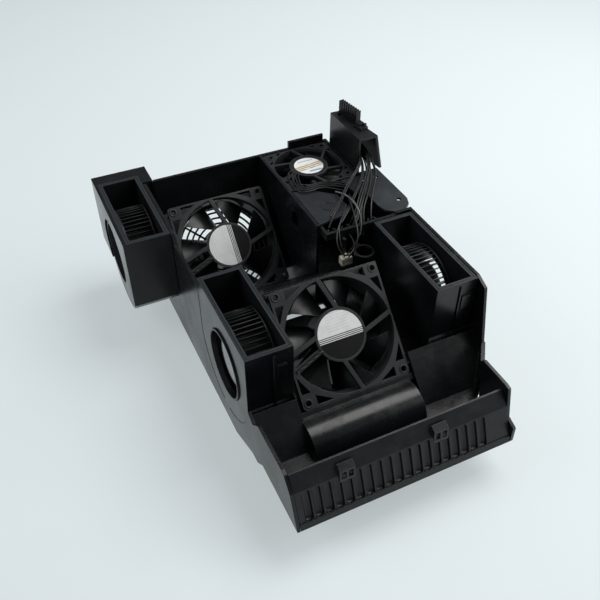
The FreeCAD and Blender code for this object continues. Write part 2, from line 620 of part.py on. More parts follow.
def pocket_a(casing):
    """Outboard pocket: the blower's casing with its wide collar, deck and skirt walls."""
    left = POCKET_A["left"]
    rear = POCKET_A["rear"]
    rim_x = BLOWERS[0][1]
    rim_y = BLOWERS[0][2]
    wall = 2.2
    plan = [(left, rim_y), (-HALF_WIDTH - GAP, rim_y), (-HALF_WIDTH - GAP, REAR_Y + GAP),
            (POCKET_A["right"], REAR_Y + GAP), (POCKET_A["right"], rear), (left, rear)]
    inner = [(left + wall, rim_y + wall), (-HALF_WIDTH - GAP - wall, rim_y + wall),
             (-HALF_WIDTH - GAP - wall, REAR_Y + GAP + wall), (POCKET_A["right"] - wall, REAR_Y + GAP + wall),
             (POCKET_A["right"] - wall, rear - wall), (left + wall, rear - wall)]
    block = prism_z(plan, POCKET_A["bottom"], RIM_Z - 0.5)
    block = block.cut(prism_z(inner, POCKET_A["bottom"] - 1, RIM_Z - POCKET_A["deck"]))
    core = scroll_body(0.01, 0.01, BLOWER_RIM_W - 0.01, RIM_Z + 1)
    core.translate(V(rim_x, rim_y, 0))
    intake_y = rim_y + BLOWER_RIM_L / 2 + BLOWERS[0][4]
    hole = cyl_x(INTAKE_R + 4.5, left - 1, rim_x + 1, intake_y, DRUM_Z)
    return union([block.cut([core, hole]), casing])


def front_lip():
    """Ribbed front lip: sloped wall with a row of slots, upstanding top edge and a bead below."""
    x0 = -HALF_WIDTH + WALL + GAP
    x1 = LIP_RIGHT_X - WALL - GAP
    run = math.hypot(LIP_FOOT[0] - LIP_LEDGE[0], LIP_FOOT[1] - LIP_LEDGE[1])
    down = ((LIP_FOOT[0] - LIP_LEDGE[0]) / run, (LIP_FOOT[1] - LIP_LEDGE[1]) / run)
    inward = (-down[1], down[0])

    def on_face(distance, depth):
        return (LIP_LEDGE[0] + down[0] * distance + inward[0] * depth,
                LIP_LEDGE[1] + down[1] * distance + inward[1] * depth)
    foot_in = on_face(run, LIP_WALL + 1)
    outline = [LIP_TOP, LIP_LEDGE, LIP_FOOT, (LIP_BACK_Y - GAP, LIP_FOOT[1]), (LIP_BACK_Y - GAP, FLOOR_Z),
               (foot_in[0], FLOOR_Z), on_face(0.6, LIP_WALL), (LIP_TOP[0] + 2.2, LIP_TOP[1] - 4.6),
               (LIP_TOP[0] + 1.6, LIP_TOP[1])]
    lip = prism_x(outline, x0, x1)
    bead = slab_x(on_face(run - 5.5, -BEAD_H), on_face(run - 3.2, -BEAD_H), -BEAD_H - 0.5, x0, x1)
    lip = union([lip, bead])
    slot = [on_face(SLOT_START, -1), on_face(SLOT_END, -1), on_face(SLOT_END - 1, SLOT_DEPTH),
            on_face(SLOT_START, SLOT_DEPTH)]
    slots = []
    for index in range(SLOT_COUNT):
        middle = SLOT_FIRST_X + index * SLOT_PITCH
        slots.append(prism_x(slot, middle - SLOT_WIDTH / 2, middle + SLOT_WIDTH / 2))
    lip = lip.cut(slots)
    bosses = []
    for middle in CLIP_BOSS_X:
        boss = prism_x([(LIP_LEDGE[0] - 2.6, LIP_LEDGE[1] - 5), (LIP_LEDGE[0] - 1.0, LIP_LEDGE[1] + 5.5),
                        (LIP_LEDGE[0] + 4.0, LIP_LEDGE[1] + 8.0), (LIP_LEDGE[0] + 6.0, LIP_LEDGE[1])],
                       middle - 6.0, middle + 6.0)
        pockets = []
        for side in (-1, 1):
            pocket = box(middle + side * 2.7 - 1.9, middle + side * 2.7 + 1.9, LIP_LEDGE[0] - 4,
                         LIP_LEDGE[0] + 1.0, LIP_LEDGE[1] - 2.5, LIP_LEDGE[1] + 3.6)
            pockets.append(pocket)
        bosses.append(boss.cut(pockets))
    return union([lip] + bosses)


def finger_guard():
    """Flat guard of rings and spokes in the bulkhead behind the rear fan."""
    depth = LARGE["depth"] + GAP
    outer = BULKHEAD_HOLE - GAP
    z0 = -depth - 1.9
    z1 = -depth - 0.2
    step = (outer - LARGE["hub"]) / GUARD_RINGS
    rings = []
    for index in range(GUARD_RINGS + 1):
        radius = outer - index * step
        ring = cyl(radius, 0, 0, z0, z1).cut(cyl(radius - GUARD_WIRE, 0, 0, z0 - 1, z1 + 1))
        rings.append(ring)
    inner = outer - GUARD_RINGS * step
    spokes = []
    for index in range(6):
        angle = 15.0 + index * 60.0
        spokes.append(bar(polar(inner - 1, angle), polar(outer - 0.5, angle), GUARD_WIRE, z0, z1))
    return placed(union(rings + spokes), FAN_1, TILT)


# Small parts on top

def connector_tower():
    """Tapered channel, open towards the front and below, that stands over the right rear corner."""
    front, back = TOWER_Y

    def ring(z, right_front, right_back, inset, open_front):
        y0 = front - open_front
        points = [V(TOWER_X + inset, back - inset, z), V(right_back - inset, back - inset, z),
                  V(right_front - inset, y0, z), V(TOWER_X + inset, y0, z)]
        return Part.makePolygon(points + [points[0]])
    outer = Part.makeLoft([ring(TOWER_FOOT_Z, TOWER_FOOT_X[0], TOWER_FOOT_X[1], 0, 0),
                           ring(TOWER_TOP_Z, TOWER_TOP_X[0], TOWER_TOP_X[1], 0, 0)], True, True)
    inner = Part.makeLoft([ring(TOWER_FOOT_Z - 1, TOWER_FOOT_X[0], TOWER_FOOT_X[1], TOWER_WALL, 1),
                           ring(TOWER_TOP_Z - TOWER_WALL, TOWER_TOP_X[0], TOWER_TOP_X[1], TOWER_WALL, 1)],
                          True, True)
    back_gap = box(TOWER_X + TOWER_WALL, 200, back - TOWER_WALL - 1, back + 1, 0, TOWER_BACK_Z)
    hole = cyl(2.2, 91.5, 136.0, TOWER_TOP_Z - TOWER_WALL - 1, TOWER_TOP_Z + 1)
    return outer.cut([inner, back_gap, hole])


def edge_block(length, width, height, centre_y, inset):
    """Block that lies along the slanting right edge of the tower's top."""
    run = TOWER_Y[1] - TOWER_Y[0]
    slant = math.degrees(math.atan2(TOWER_TOP_X[0] - TOWER_TOP_X[1], run))
    share = (TOWER_Y[1] - centre_y) / run
    edge_x = TOWER_TOP_X[1] + (TOWER_TOP_X[0] - TOWER_TOP_X[1]) * share
    block = box(-width, 0, -length / 2, length / 2, 0, height)
    return block, V(edge_x - inset, centre_y, TOWER_TOP_Z), slant


def on_edge(shape, place, slant):
    """Shape turned to the slant of the edge and moved to its place."""
    result = shape.copy()
    result.rotate(ORIGIN, Z_AXIS, slant)
    result.translate(place)
    return result


def blind_connector():
    """Upright connector body with a row of contact slots."""
    block, place, slant = edge_block(CONNECTOR_L, CONNECTOR_W, CONNECTOR_H, 128.5, -1.5)
    pitch = CONNECTOR_L / CONNECTOR_SLOTS
    slots = []
    for index in range(CONNECTOR_SLOTS):
        y = -CONNECTOR_L / 2 + pitch * (index + 0.5)
        slots.append(box(-CONNECTOR_W + 1.2, 0.5, y - pitch * 0.26, y + pitch * 0.26, 3.0, CONNECTOR_H + 1))
        slots.append(box(-CONNECTOR_W - 0.5, -CONNECTOR_W + 0.6, y - pitch * 0.26, y + pitch * 0.26,
                         4.0, CONNECTOR_H + 1))
    return on_edge(block.cut(slots), place, slant)


def tower_latch():
    """Stepped latch block in front of the connector."""
    block, place, slant = edge_block(11.0, 8.0, 2.6, 106.0, 0.6)
    step = box(-6.5, -0.8, -1.0, 5.5, 2.0, 4.6)
    hook = box(-3.4, -0.8, -4.2, -2.6, 2.0, 5.4)
    return on_edge(union([block, step, hook]), place, slant)


def flange_plate():
    """Light round-cornered mounting flange between the tower and the right wall."""
    z0 = FLANGE_SEAT_Z
    plan = [(106.0, 86.7), (105.8, 32.5), (102.9, 24.8), (96.5, 19.0), (86.7, 18.2), (79.0, 24.0),
            (76.6, 34.0), (76.6, 60.0), (86.0, 76.0), (86.0, 86.7)]
    plate = prism_z(plan, z0, z0 + PLATE_T)
    rib = box(86.0, 88.0, 20.0, 70.0, z0 - 6.0, z0 + 0.1)
    holes = [cyl(2.25, 98.0, y, z0 - 1, z0 + PLATE_T + 1) for y in (34.0, 74.0)]
    return union([plate, rib]).cut(holes)


def cover_plate():
    """Cover over the leads between the small fan and the cable bay, with a raised round ornament."""
    z1 = RIM_Z
    z0 = z1 - PLATE_T
    plan = [(16.6, 78.4), (31.9, 75.7), (50.2, 59.3), (50.9, 34.7), (40.5, 29.8), (25.1, 27.6), (16.6, 26.0)]
    plate = prism_z(plan, z0, z1)
    ring = cyl(6.0, 34.7, 47.2, z1 - 0.5, z1 + 0.5).cut(cyl(5.0, 34.7, 47.2, z1 - 1, z1 + 1))
    rail = box(16.6, 19.2, 27.0, 77.0, z0 - 7.0, z0 + 0.1)
    return union([plate, ring, rail])


def small_plate():
    """Triangular plate that holds the leads down behind the flange."""
    z1 = RIM_Z
    plan = [(64.0, 78.0), (82.6, 78.0), (82.6, 73.0), (69.5, 52.5), (66.5, 53.5)]
    plate = prism_z(plan, z1 - PLATE_T, z1)
    lug = box(80.2, 82.6, 74.0, 78.0, z1 - 12.0, z1 - PLATE_T + 0.1)
    return union([plate, lug])


def clip_rail():
    """Rail with open cable clips across the cable bay."""
    x0 = BAY_LEFT_X + GAP
    x1 = BAY_RIGHT_X - WALL - GAP
    rail = box(x0, x1, 12.6, 15.4, RIM_Z - 8.0, RIM_Z - 1.5)
    parts = [rail]
    for x in (24.0, 37.0, 50.0, 62.0):
        hook = cyl(4.2, x, 17.4, RIM_Z - 8.0, RIM_Z - 3.0).cut(
            [cyl(2.9, x, 17.4, RIM_Z - 9.0, RIM_Z), box(x - 1.8, x + 1.8, 19.0, 23.0, RIM_Z - 9.0, RIM_Z)])
        parts.append(hook)
    parts.append(box(x0, x0 + 2.4, 12.6, BAY_FRONT_Y - GAP, RIM_Z - 8.0, RIM_Z - 1.5))
    return union(parts)


def cable_ring():
    """Ring that gathers the leads above the floor of the cable bay, on a short post."""
    x, y, z = 46.5, 1.5, 94.0
    ring = cyl(9.0, x, y, z, z + 3.0).cut(cyl(7.0, x, y, z - 1, z + 4))
    post = box(x - 1.2, x + 1.2, y + 8.0, y + 11.0, BAY_FLOOR_Z, z + 3.0)
    return union([ring, post])


def lead_plug():
    """Small plug parked beside the clip rail."""
    body = box(26.5, 36.5, 11.5 - 9.0, 11.5 - 3.0, 86.0, 93.0)
    slots = [box(27.5 + 2.4 * index, 28.9 + 2.4 * index, 1.5, 4.0, 87.5, 92.0) for index in range(4)]
    stem = box(30.2, 32.8, 8.4, 12.4, 88.0, RIM_Z - 8.2)
    key = box(29.0, 34.0, 2.5, 8.5, 93.0, 94.2)
    return union([body.cut(slots), stem, key])


# Leads: straight runs joined by tangent arcs

def lead(points, radius):
    """Round lead along hand-set points, with an arc as large as its runs allow at every turn."""
    points = [V(*p) for p in points]
    edges = []
    radii = []
    cursor = points[0]
    for index in range(1, len(points) - 1):
        corner = points[index]
        before = corner - points[index - 1]
        after = points[index + 1] - corner
        turn = before.getAngle(after)
        bend = 0.45 * min(before.Length, after.Length) / math.tan(turn / 2)
        radii.append(bend)
        cut_back = bend * math.tan(turn / 2)
        into = before.normalize()
        out = after.normalize()
        start = corner - into * cut_back
        end = corner + out * cut_back
        inward = (out - into).normalize()
        middle = corner + inward * (bend / math.cos(turn / 2) - bend)
        edges.append(Part.LineSegment(cursor, start).toShape())
        edges.append(Part.Arc(start, middle, end).toShape())
        cursor = end
    edges.append(Part.LineSegment(cursor, points[-1]).toShape())
    path = Part.Wire(edges)
    direction = points[1] - points[0]
    section = Part.Wire([Part.Circle(points[0], direction, radius).toShape()])
    tube = path.makePipeShell([section], True, False)
    print("lead radii", [round(r, 1) for r in radii], "volume ratio",
          round(tube.Volume / (math.pi * radius * radius * path.Length), 3))
    return tube


HARNESS = (
    ((94.0, 134.0, 145.7), (94.2, 131.5, 137.5), (95.0, 119.0, 132.0), (95.5, 102.0, 127.0), (93.5, 86.0, 123.5), (86.0, 70.0, 121.0),
     (75.0, 56.0, 119.6), (66.0, 43.0, 118.6), (57.0, 33.0, 115.5), (49.0, 24.0, 110.5), (42.0, 22.0, 104.0)),
    ((95.0, 127.0, 145.7), (95.3, 125.0, 138.0), (97.0, 114.5, 132.5), (98.5, 101.0, 127.5), (96.5, 84.0, 123.0), (89.5, 68.0, 120.5),
     (79.5, 54.0, 119.2), (70.0, 42.0, 118.0), (61.5, 32.0, 114.5), (57.0, 22.0, 107.0), (55.5, 19.0, 98.0)),
    ((91.5, 137.0, 145.7), (91.5, 134.5, 138.0), (92.3, 120.0, 133.5), (92.5, 103.0, 129.5), (90.0, 88.0, 126.5), (83.0, 73.0, 123.6),
     (73.0, 60.0, 121.8), (62.0, 49.0, 120.6), (53.0, 40.0, 119.3), (44.0, 30.5, 118.9), (35.0, 24.0, 115.5),
     (30.0, 21.0, 107.5)),
    ((94.5, 120.5, 145.7), (95.0, 119.0, 138.5), (97.5, 111.0, 133.0), (99.5, 100.0, 129.5), (98.5, 83.0, 125.5), (93.0, 66.0, 122.5),
     (83.0, 52.0, 120.6), (73.5, 39.0, 118.6), (66.5, 28.0, 113.6), (64.0, 20.5, 104.0)),
    ((91.0, 129.0, 145.7), (91.0, 127.0, 139.0), (91.6, 116.5, 134.5), (91.8, 103.0, 132.0), (90.2, 86.5, 129.2), (80.0, 75.0, 126.4),
     (68.0, 66.0, 124.0), (57.0, 55.0, 122.6), (47.5, 45.0, 121.2), (38.5, 36.0, 120.6),
     (30.0, 28.5, 119.5), (24.0, 23.5, 113.0)),
    ((91.2, 122.0, 145.7), (91.3, 120.5, 139.5), (93.5, 112.0, 136.5), (96.0, 102.0, 133.8), (96.0, 88.0, 129.5), (89.0, 74.0, 126.2),
     (79.5, 62.0, 123.8), (70.5, 52.0, 122.4), (62.0, 41.5, 121.0), (53.5, 31.5, 117.4), (47.0, 26.0, 111.5),
     (43.5, 26.5, 104.5)),
)


def harness():
    """Loose bundle of leads from the connector tower over the plates to the clips."""
    return Part.makeCompound([lead(route, WIRE_R) for route in HARNESS])


def save(name, shape):
    """Write one node."""
    if not shape.isValid():
        print("not valid", name)
    shape.exportStep("parts/" + name + ".step")
    NODES.append((name, len(shape.Solids), shape.Volume))


NODES = []
os.makedirs("parts", exist_ok=True)

save("base_shell", base_shell())
save("fan_tray", fan_tray())
save("front_lip", front_lip())
save("finger_guard", finger_guard())

for blower_name, blower_x, blower_y, intake, drum_shift in BLOWERS:
    corner_at = V(blower_x, blower_y, 0)
    casing_shape = blower_casing(intake, drum_shift)
    casing_shape.translate(corner_at)
    if blower_name == "a":
        casing_shape = pocket_a(casing_shape)
    save("casing_" + blower_name, casing_shape)
    makers = (("housing", blower_housing), ("impeller", blower_impeller), ("shaft", blower_shaft),
              ("hub_plate", blower_cap))
    for piece, maker in makers:
        solid = maker(intake, drum_shift)
        solid.translate(corner_at)
        save("blower_" + blower_name + "_" + piece, solid)

for fan_name, fan_size, fan_centre, fan_tilt in (("fan_1", LARGE, FAN_1, TILT), ("fan_2", LARGE, FAN_2, TILT),
                                                 ("fan_3", SMALL, FAN_3, 0.0)):
    for piece, maker in (("frame", fan_frame), ("rotor", fan_rotor), ("shaft", fan_shaft),
                         ("stator", fan_stator), ("label", fan_label)):
        save(fan_name + "_" + piece, placed(maker(fan_size), fan_centre, fan_tilt))

save("connector_tower", connector_tower())
save("blind_connector", blind_connector())
save("tower_latch", tower_latch())
save("flange_plate", flange_plate())
save("cover_plate", cover_plate())
save("small_plate", small_plate())
save("clip_rail", clip_rail())
save("cable_ring", cable_ring())
save("lead_plug", lead_plug())
save("wire_harness", harness())

for node_name, solids, volume in NODES:
    print(node_name, solids, round(volume, 1))
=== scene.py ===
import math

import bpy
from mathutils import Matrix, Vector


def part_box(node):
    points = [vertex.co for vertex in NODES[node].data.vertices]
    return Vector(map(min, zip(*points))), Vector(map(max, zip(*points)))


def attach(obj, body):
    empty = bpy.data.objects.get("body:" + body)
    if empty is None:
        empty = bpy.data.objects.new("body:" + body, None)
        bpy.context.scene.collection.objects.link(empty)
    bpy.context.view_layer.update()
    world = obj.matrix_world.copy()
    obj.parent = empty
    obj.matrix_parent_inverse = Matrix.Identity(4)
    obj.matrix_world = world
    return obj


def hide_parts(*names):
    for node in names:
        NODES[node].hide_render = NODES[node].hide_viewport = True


bl_info = {
    "name": "Workstation fan assembly",
    "version": (1, 0, 0),
    "blender": (4, 5, 0),
    "location": "View3D > Sidebar > Fan Assembly",
    "description": "Finishes, leads and small mouldings of a workstation's fan assembly",
    "category": "Object",
}

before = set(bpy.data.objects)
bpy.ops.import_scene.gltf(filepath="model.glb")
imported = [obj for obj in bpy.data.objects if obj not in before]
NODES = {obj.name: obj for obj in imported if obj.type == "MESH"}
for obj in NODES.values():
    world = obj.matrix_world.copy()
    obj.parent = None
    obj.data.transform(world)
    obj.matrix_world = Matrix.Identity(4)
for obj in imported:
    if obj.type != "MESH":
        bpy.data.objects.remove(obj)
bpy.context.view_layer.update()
MM = 0.001

# Fans: middles of their faces, tilt of the large ones about X, half pitch of the corner holes,
# the small label and the bosses round the holes in metres, and the angle of the lead strut
FAN_1 = Vector((-39.5, 97.0, 64.5)) * MM
FAN_2 = Vector((-11.3, -67.1, 84.4)) * MM
FAN_3 = Vector((49.5, 114.5, 116.0)) * MM
TILT = math.radians(45.0)
UP_TILTED = Vector((0.0, math.cos(TILT), math.sin(TILT)))
RIGHT = Vector((1.0, 0.0, 0.0))
LARGE_REACH = 41.25 * MM
SMALL_REACH = 26.75 * MM
SMALL_LABEL_RADIUS = 0.0136
BOSS_RADIUS = 0.0034
BOSS_WALL = 0.0011
LEAD_STRUT_ANGLE = math.radians(201.0)

# Height above which what faces up on the pockets and housings is painted paler, a painted highlight on
# their rim tops, in metres
RIM_HEIGHT = 0.11665

# Seam between the outboard pocket and the rear wall, in metres
SEAM_PLACE = (-0.0899, 0.14965, 0.084)
SEAM_SIZE = (0.0013, 0.0021, 0.0650)

# Wheels of the blowers, in metres: back plate and ring, blade, recess of the hub
WHEEL_PLATE = 0.0014
BLADE_THICKNESS = 0.0007
BLADE_LEAN = math.radians(12.0)
HUB_RIM = 0.0012
HUB_RECESS = 0.0008
CAP_THICKNESS = 0.0006
CAP_GAP = 0.0016

# Floor and the round wall about it, in metres
FLOOR_DROP = 0.0004
BACKDROP_RADIUS = 4.5
BACKDROP_HEIGHT = 1.5

# Front face of the lip, from its ledge to its foot: places along Y and Z, in millimetres
LIP_LEDGE = (-163.5, 59.0)
LIP_FOOT = (-175.5, 31.0)

# Leads of the bundle, in millimetres, from the tower over the plates to the clips
HARNESS = (
    ((94.0, 134.0, 145.7), (94.2, 131.5, 137.5), (95.0, 119.0, 132.0), (95.5, 102.0, 127.0),
     (93.5, 86.0, 123.5), (86.0, 70.0, 121.0), (75.0, 56.0, 119.6), (66.0, 43.0, 118.6),
     (57.0, 33.0, 115.5), (49.0, 24.0, 110.5), (42.0, 22.0, 104.0)),
    ((95.0, 127.0, 145.7), (95.3, 125.0, 138.0), (97.0, 114.5, 132.5), (98.5, 101.0, 127.5),
     (96.5, 84.0, 123.0), (89.5, 68.0, 120.5), (79.5, 54.0, 119.2), (70.0, 42.0, 118.0),
     (61.5, 32.0, 114.5), (57.0, 22.0, 107.0), (55.5, 19.0, 98.0)),
    ((91.5, 137.0, 145.7), (91.5, 134.5, 138.0), (92.3, 120.0, 133.5), (92.5, 103.0, 129.5),
     (90.0, 88.0, 126.5), (83.0, 73.0, 123.6), (73.0, 60.0, 121.8), (62.0, 49.0, 120.6),
     (53.0, 40.0, 119.3), (44.0, 30.5, 118.9), (35.0, 24.0, 115.5), (30.0, 21.0, 107.5)),
    ((94.5, 120.5, 145.7), (95.0, 119.0, 138.5), (97.5, 111.0, 133.0), (99.5, 100.0, 129.5),
     (98.5, 83.0, 125.5), (93.0, 66.0, 122.5), (83.0, 52.0, 120.6), (73.5, 39.0, 118.6),
     (66.5, 28.0, 113.6), (64.0, 20.5, 104.0)),
    ((91.0, 129.0, 145.7), (91.0, 127.0, 139.0), (91.6, 116.5, 134.5), (91.8, 103.0, 132.0),
     (90.2, 86.5, 129.2), (80.0, 75.0, 126.4), (68.0, 66.0, 124.0), (57.0, 55.0, 122.6),
     (47.5, 45.0, 121.2), (38.5, 36.0, 120.6), (30.0, 28.5, 119.5), (24.0, 23.5, 113.0)),
    ((91.2, 122.0, 145.7), (91.3, 120.5, 139.5), (93.5, 112.0, 136.5), (96.0, 102.0, 133.8),
     (96.0, 88.0, 129.5), (89.0, 74.0, 126.2), (79.5, 62.0, 123.8), (70.5, 52.0, 122.4),
     (62.0, 41.5, 121.0), (53.5, 31.5, 117.4), (47.0, 26.0, 111.5), (43.5, 26.5, 104.5)),
)

# Leads of the small fan, in millimetres, over its frame and the plates to the bundle
SMALL_FAN_LEADS = (
    ((33.0, 109.0, 116.9), (28.0, 107.0, 117.4), (24.8, 96.0, 117.6), (22.5, 84.0, 117.9),
     (24.5, 75.5, 118.4), (32.0, 74.0, 119.0), (41.0, 75.0, 119.6), (50.0, 70.0, 120.4),
     (60.0, 60.0, 121.4)),
    ((33.6, 106.0, 116.9), (30.0, 103.0, 117.4), (27.0, 93.0, 117.6), (24.6, 82.0, 117.9),
     (27.0, 77.0, 118.4), (34.0, 76.3, 119.4), (43.0, 76.4, 120.4), (52.0, 71.0, 121.4),
     (62.0, 60.0, 122.6)),
    ((34.4, 103.6, 116.9), (31.0, 99.0, 117.4), (28.6, 89.0, 117.6), (27.0, 80.5, 117.9),
     (31.0, 78.6, 118.8), (38.0, 78.4, 119.8), (46.0, 77.4, 120.8), (54.0, 72.0, 122.0),
     (63.0, 62.0, 123.4)),
    ((32.6, 112.0, 116.9), (26.0, 110.0, 117.4), (21.6, 98.0, 117.6), (20.0, 85.0, 117.9),
     (22.0, 73.6, 118.2), (30.0, 71.6, 118.6), (40.0, 72.6, 119.0), (48.6, 67.6, 119.6),
     (58.0, 56.0, 120.4)),
)

# Leads that drop from the bundle over the rail to the plug, in millimetres
PLUG_LEADS = (
    ((57.0, 50.0, 121.0), (55.5, 36.0, 121.6), (52.0, 20.0, 119.6), (46.0, 7.0, 114.0),
     (38.0, 3.5, 104.0), (32.5, 5.0, 96.0), (31.5, 5.5, 92.5)),
    ((54.0, 47.0, 122.0), (50.0, 33.0, 122.8), (45.0, 16.0, 120.4), (41.0, 3.0, 113.0),
     (36.0, -1.0, 103.0), (33.6, 2.0, 96.0), (33.0, 4.5, 92.5)),
    ((47.0, 37.0, 121.6), (40.0, 27.0, 121.4), (30.0, 17.0, 119.6), (25.0, 7.0, 114.6),
     (25.0, 1.5, 105.0), (28.5, 2.5, 97.0), (30.0, 5.0, 92.5)),
    ((44.0, 32.0, 121.0), (35.0, 21.0, 121.6), (24.0, 10.0, 118.0), (20.5, 2.0, 110.0),
     (24.0, -2.0, 102.0), (31.0, -1.0, 99.0), (38.0, 3.0, 101.0), (40.0, 10.0, 106.0),
     (37.0, 15.0, 110.0)),
)

# Pale lead over the cover plate to the rail, in millimetres
GREY_LEAD = (
    ((49.0, 60.0, 119.8), (50.5, 55.0, 121.6), (53.0, 45.0, 123.4), (53.6, 34.0, 123.2),
     (52.6, 22.0, 120.4), (50.0, 16.0, 114.0), (48.0, 12.0, 106.0)),
)

# Settings that a user would change

class PlasticSettings(bpy.types.PropertyGroup):
    """Moulded plastic of the chassis and its small parts"""
    colour: bpy.props.FloatVectorProperty(
        name="Colour", description="Black of the mouldings", subtype="COLOR",
        default=(0.0055, 0.0062, 0.0070), min=0.0, max=1.0)
    roughness: bpy.props.FloatProperty(
        name="Roughness", description="Gloss of the mouldings", subtype="FACTOR",
        default=0.25, min=0.0, max=1.0)
    edge_radius: bpy.props.FloatProperty(
        name="Edge radius", description="Rounding of the moulded edges", subtype="DISTANCE",
        unit="LENGTH", default=0.0005, min=0.0, max=0.003)
    grain: bpy.props.FloatProperty(
        name="Grain", description="Grains per metre of the tool's texture", default=1500.0,
        min=10.0, max=5000.0)
    flange_colour: bpy.props.FloatVectorProperty(
        name="Flange colour", description="Satin grey of the mounting flange", subtype="COLOR",
        default=(0.020, 0.024, 0.028), min=0.0, max=1.0)


class FanSettings(bpy.types.PropertyGroup):
    """Fans, blowers and their labels"""
    colour: bpy.props.FloatVectorProperty(
        name="Colour", description="Black of frames and rotors", subtype="COLOR",
        default=(0.0075, 0.0082, 0.0090), min=0.0, max=1.0)
    label: bpy.props.FloatVectorProperty(
        name="Label", description="White of the fan labels", subtype="COLOR",
        default=(0.82, 0.84, 0.84), min=0.0, max=1.0)
    band: bpy.props.FloatVectorProperty(
        name="Band", description="Gold band of the small label", subtype="COLOR",
        default=(0.42, 0.30, 0.12), min=0.0, max=1.0)
    boss_height: bpy.props.FloatProperty(
        name="Boss height", description="Height of the bosses round the corner holes",
        subtype="DISTANCE", unit="LENGTH", default=0.0006, min=0.0, max=0.005)


class LeadSettings(bpy.types.PropertyGroup):
    """Leads and their plug"""
    diameter: bpy.props.FloatProperty(
        name="Diameter", description="Outer diameter of one lead", subtype="DISTANCE",
        unit="LENGTH", default=0.0016, min=0.0005, max=0.005)
    colour: bpy.props.FloatVectorProperty(
        name="Colour", description="Black of the insulation", subtype="COLOR",
        default=(0.0045, 0.005, 0.0055), min=0.0, max=1.0)
    pale: bpy.props.FloatVectorProperty(
        name="Pale", description="Grey of the one pale lead", subtype="COLOR",
        default=(0.085, 0.092, 0.095), min=0.0, max=1.0)
    plug: bpy.props.FloatVectorProperty(
        name="Plug", description="Ivory of the small plug", subtype="COLOR",
        default=(0.62, 0.58, 0.48), min=0.0, max=1.0)


class LipSettings(bpy.types.PropertyGroup):
    """Row of slots in the front lip"""
    count: bpy.props.IntProperty(name="Slots", description="Number of slots", default=19, min=1)
    first: bpy.props.FloatProperty(
        name="First", description="Middle of the leftmost slot", subtype="DISTANCE", unit="LENGTH",
        default=-0.0885)
    pitch: bpy.props.FloatProperty(
        name="Pitch", description="Distance between slots", subtype="DISTANCE", unit="LENGTH",
        default=0.0079, min=0.001)
    width: bpy.props.FloatProperty(
        name="Width", description="Width of a slot", subtype="DISTANCE", unit="LENGTH",
        default=0.0065, min=0.001)
    length: bpy.props.FloatProperty(
        name="Length", description="Length of a slot down the lip", subtype="DISTANCE", unit="LENGTH",
        default=0.0250, min=0.005)
    depth: bpy.props.FloatProperty(
        name="Depth", description="Depth of a slot", subtype="DISTANCE", unit="LENGTH",
        default=0.0027, min=0.0005)


class WheelSettings(bpy.types.PropertyGroup):
    """Sizes of the wheels of the radial blowers"""
    radius: bpy.props.FloatProperty(
        name="Radius", description="Radius over the blades", subtype="DISTANCE", unit="LENGTH",
        default=0.0368, min=0.01)
    height: bpy.props.FloatProperty(
        name="Height", description="Length of the wheel along its axis", subtype="DISTANCE",
        unit="LENGTH", default=0.0258, min=0.005)
    blade: bpy.props.FloatProperty(
        name="Blade", description="Width of a blade across the wheel", subtype="DISTANCE",
        unit="LENGTH", default=0.0062, min=0.001)
    blades: bpy.props.IntProperty(name="Blades", description="Number of blades", default=52, min=8)
    hub: bpy.props.FloatProperty(
        name="Hub", description="Radius of the hub", subtype="DISTANCE", unit="LENGTH",
        default=0.0205, min=0.005)
    hub_height: bpy.props.FloatProperty(
        name="Hub height", description="Height of the hub over the back plate", subtype="DISTANCE",
        unit="LENGTH", default=0.0254, min=0.002)


class StageSettings(bpy.types.PropertyGroup):
    """Floor, lamps and camera"""
    floor: bpy.props.FloatVectorProperty(
        name="Floor", description="Pale cool paper of the floor", subtype="COLOR",
        default=(0.76, 0.83, 0.85), min=0.0, max=1.0)
    camera_place: bpy.props.FloatVectorProperty(
        name="Camera", description="Place of the camera", subtype="TRANSLATION", unit="LENGTH",
        default=(-0.206, -0.400, 0.469))
    camera_turn: bpy.props.FloatProperty(
        name="Turn", description="Angle to the right of the Y axis", subtype="ANGLE",
        default=math.radians(25.67))
    camera_dip: bpy.props.FloatProperty(
        name="Dip", description="Angle below the horizon", subtype="ANGLE",
        default=math.radians(42.28))
    camera_roll: bpy.props.FloatProperty(
        name="Roll", description="Turn about the line of sight", subtype="ANGLE",
        default=math.radians(0.3))
    lens: bpy.props.FloatProperty(
        name="Lens", description="Focal length on a 36 mm sensor, in millimetres",
        default=42.74, min=1.0)
    key_power: bpy.props.FloatProperty(
        name="Key", description="Power of the large lamp, in watts", default=14.0, min=0.0)
    sky: bpy.props.FloatProperty(
        name="Sky", description="Strength of the light all round", default=0.18, min=0.0)


# Shader arithmetic

class Value:
    """Output of a shader node that takes part in arithmetic."""

    def __init__(self, shader, socket):
        self.shader = shader
        self.socket = socket

    def math(self, operation, first, second=0.0):
        return self.shader.node("ShaderNodeMath", {"operation": operation}, {0: first, 1: second})

    def __add__(self, other):
        return self.math("ADD", self, other)

    __radd__ = __add__

    def __sub__(self, other):
        return self.math("SUBTRACT", self, other)

    def __rsub__(self, other):
        return self.math("SUBTRACT", other, self)

    def __mul__(self, other):
        return self.math("MULTIPLY", self, other)

    __rmul__ = __mul__

    def __lt__(self, other):
        return self.math("LESS_THAN", self, other)

    def __gt__(self, other):
        return self.math("GREATER_THAN", self, other)

    def __abs__(self):
        return self.math("ABSOLUTE", self)


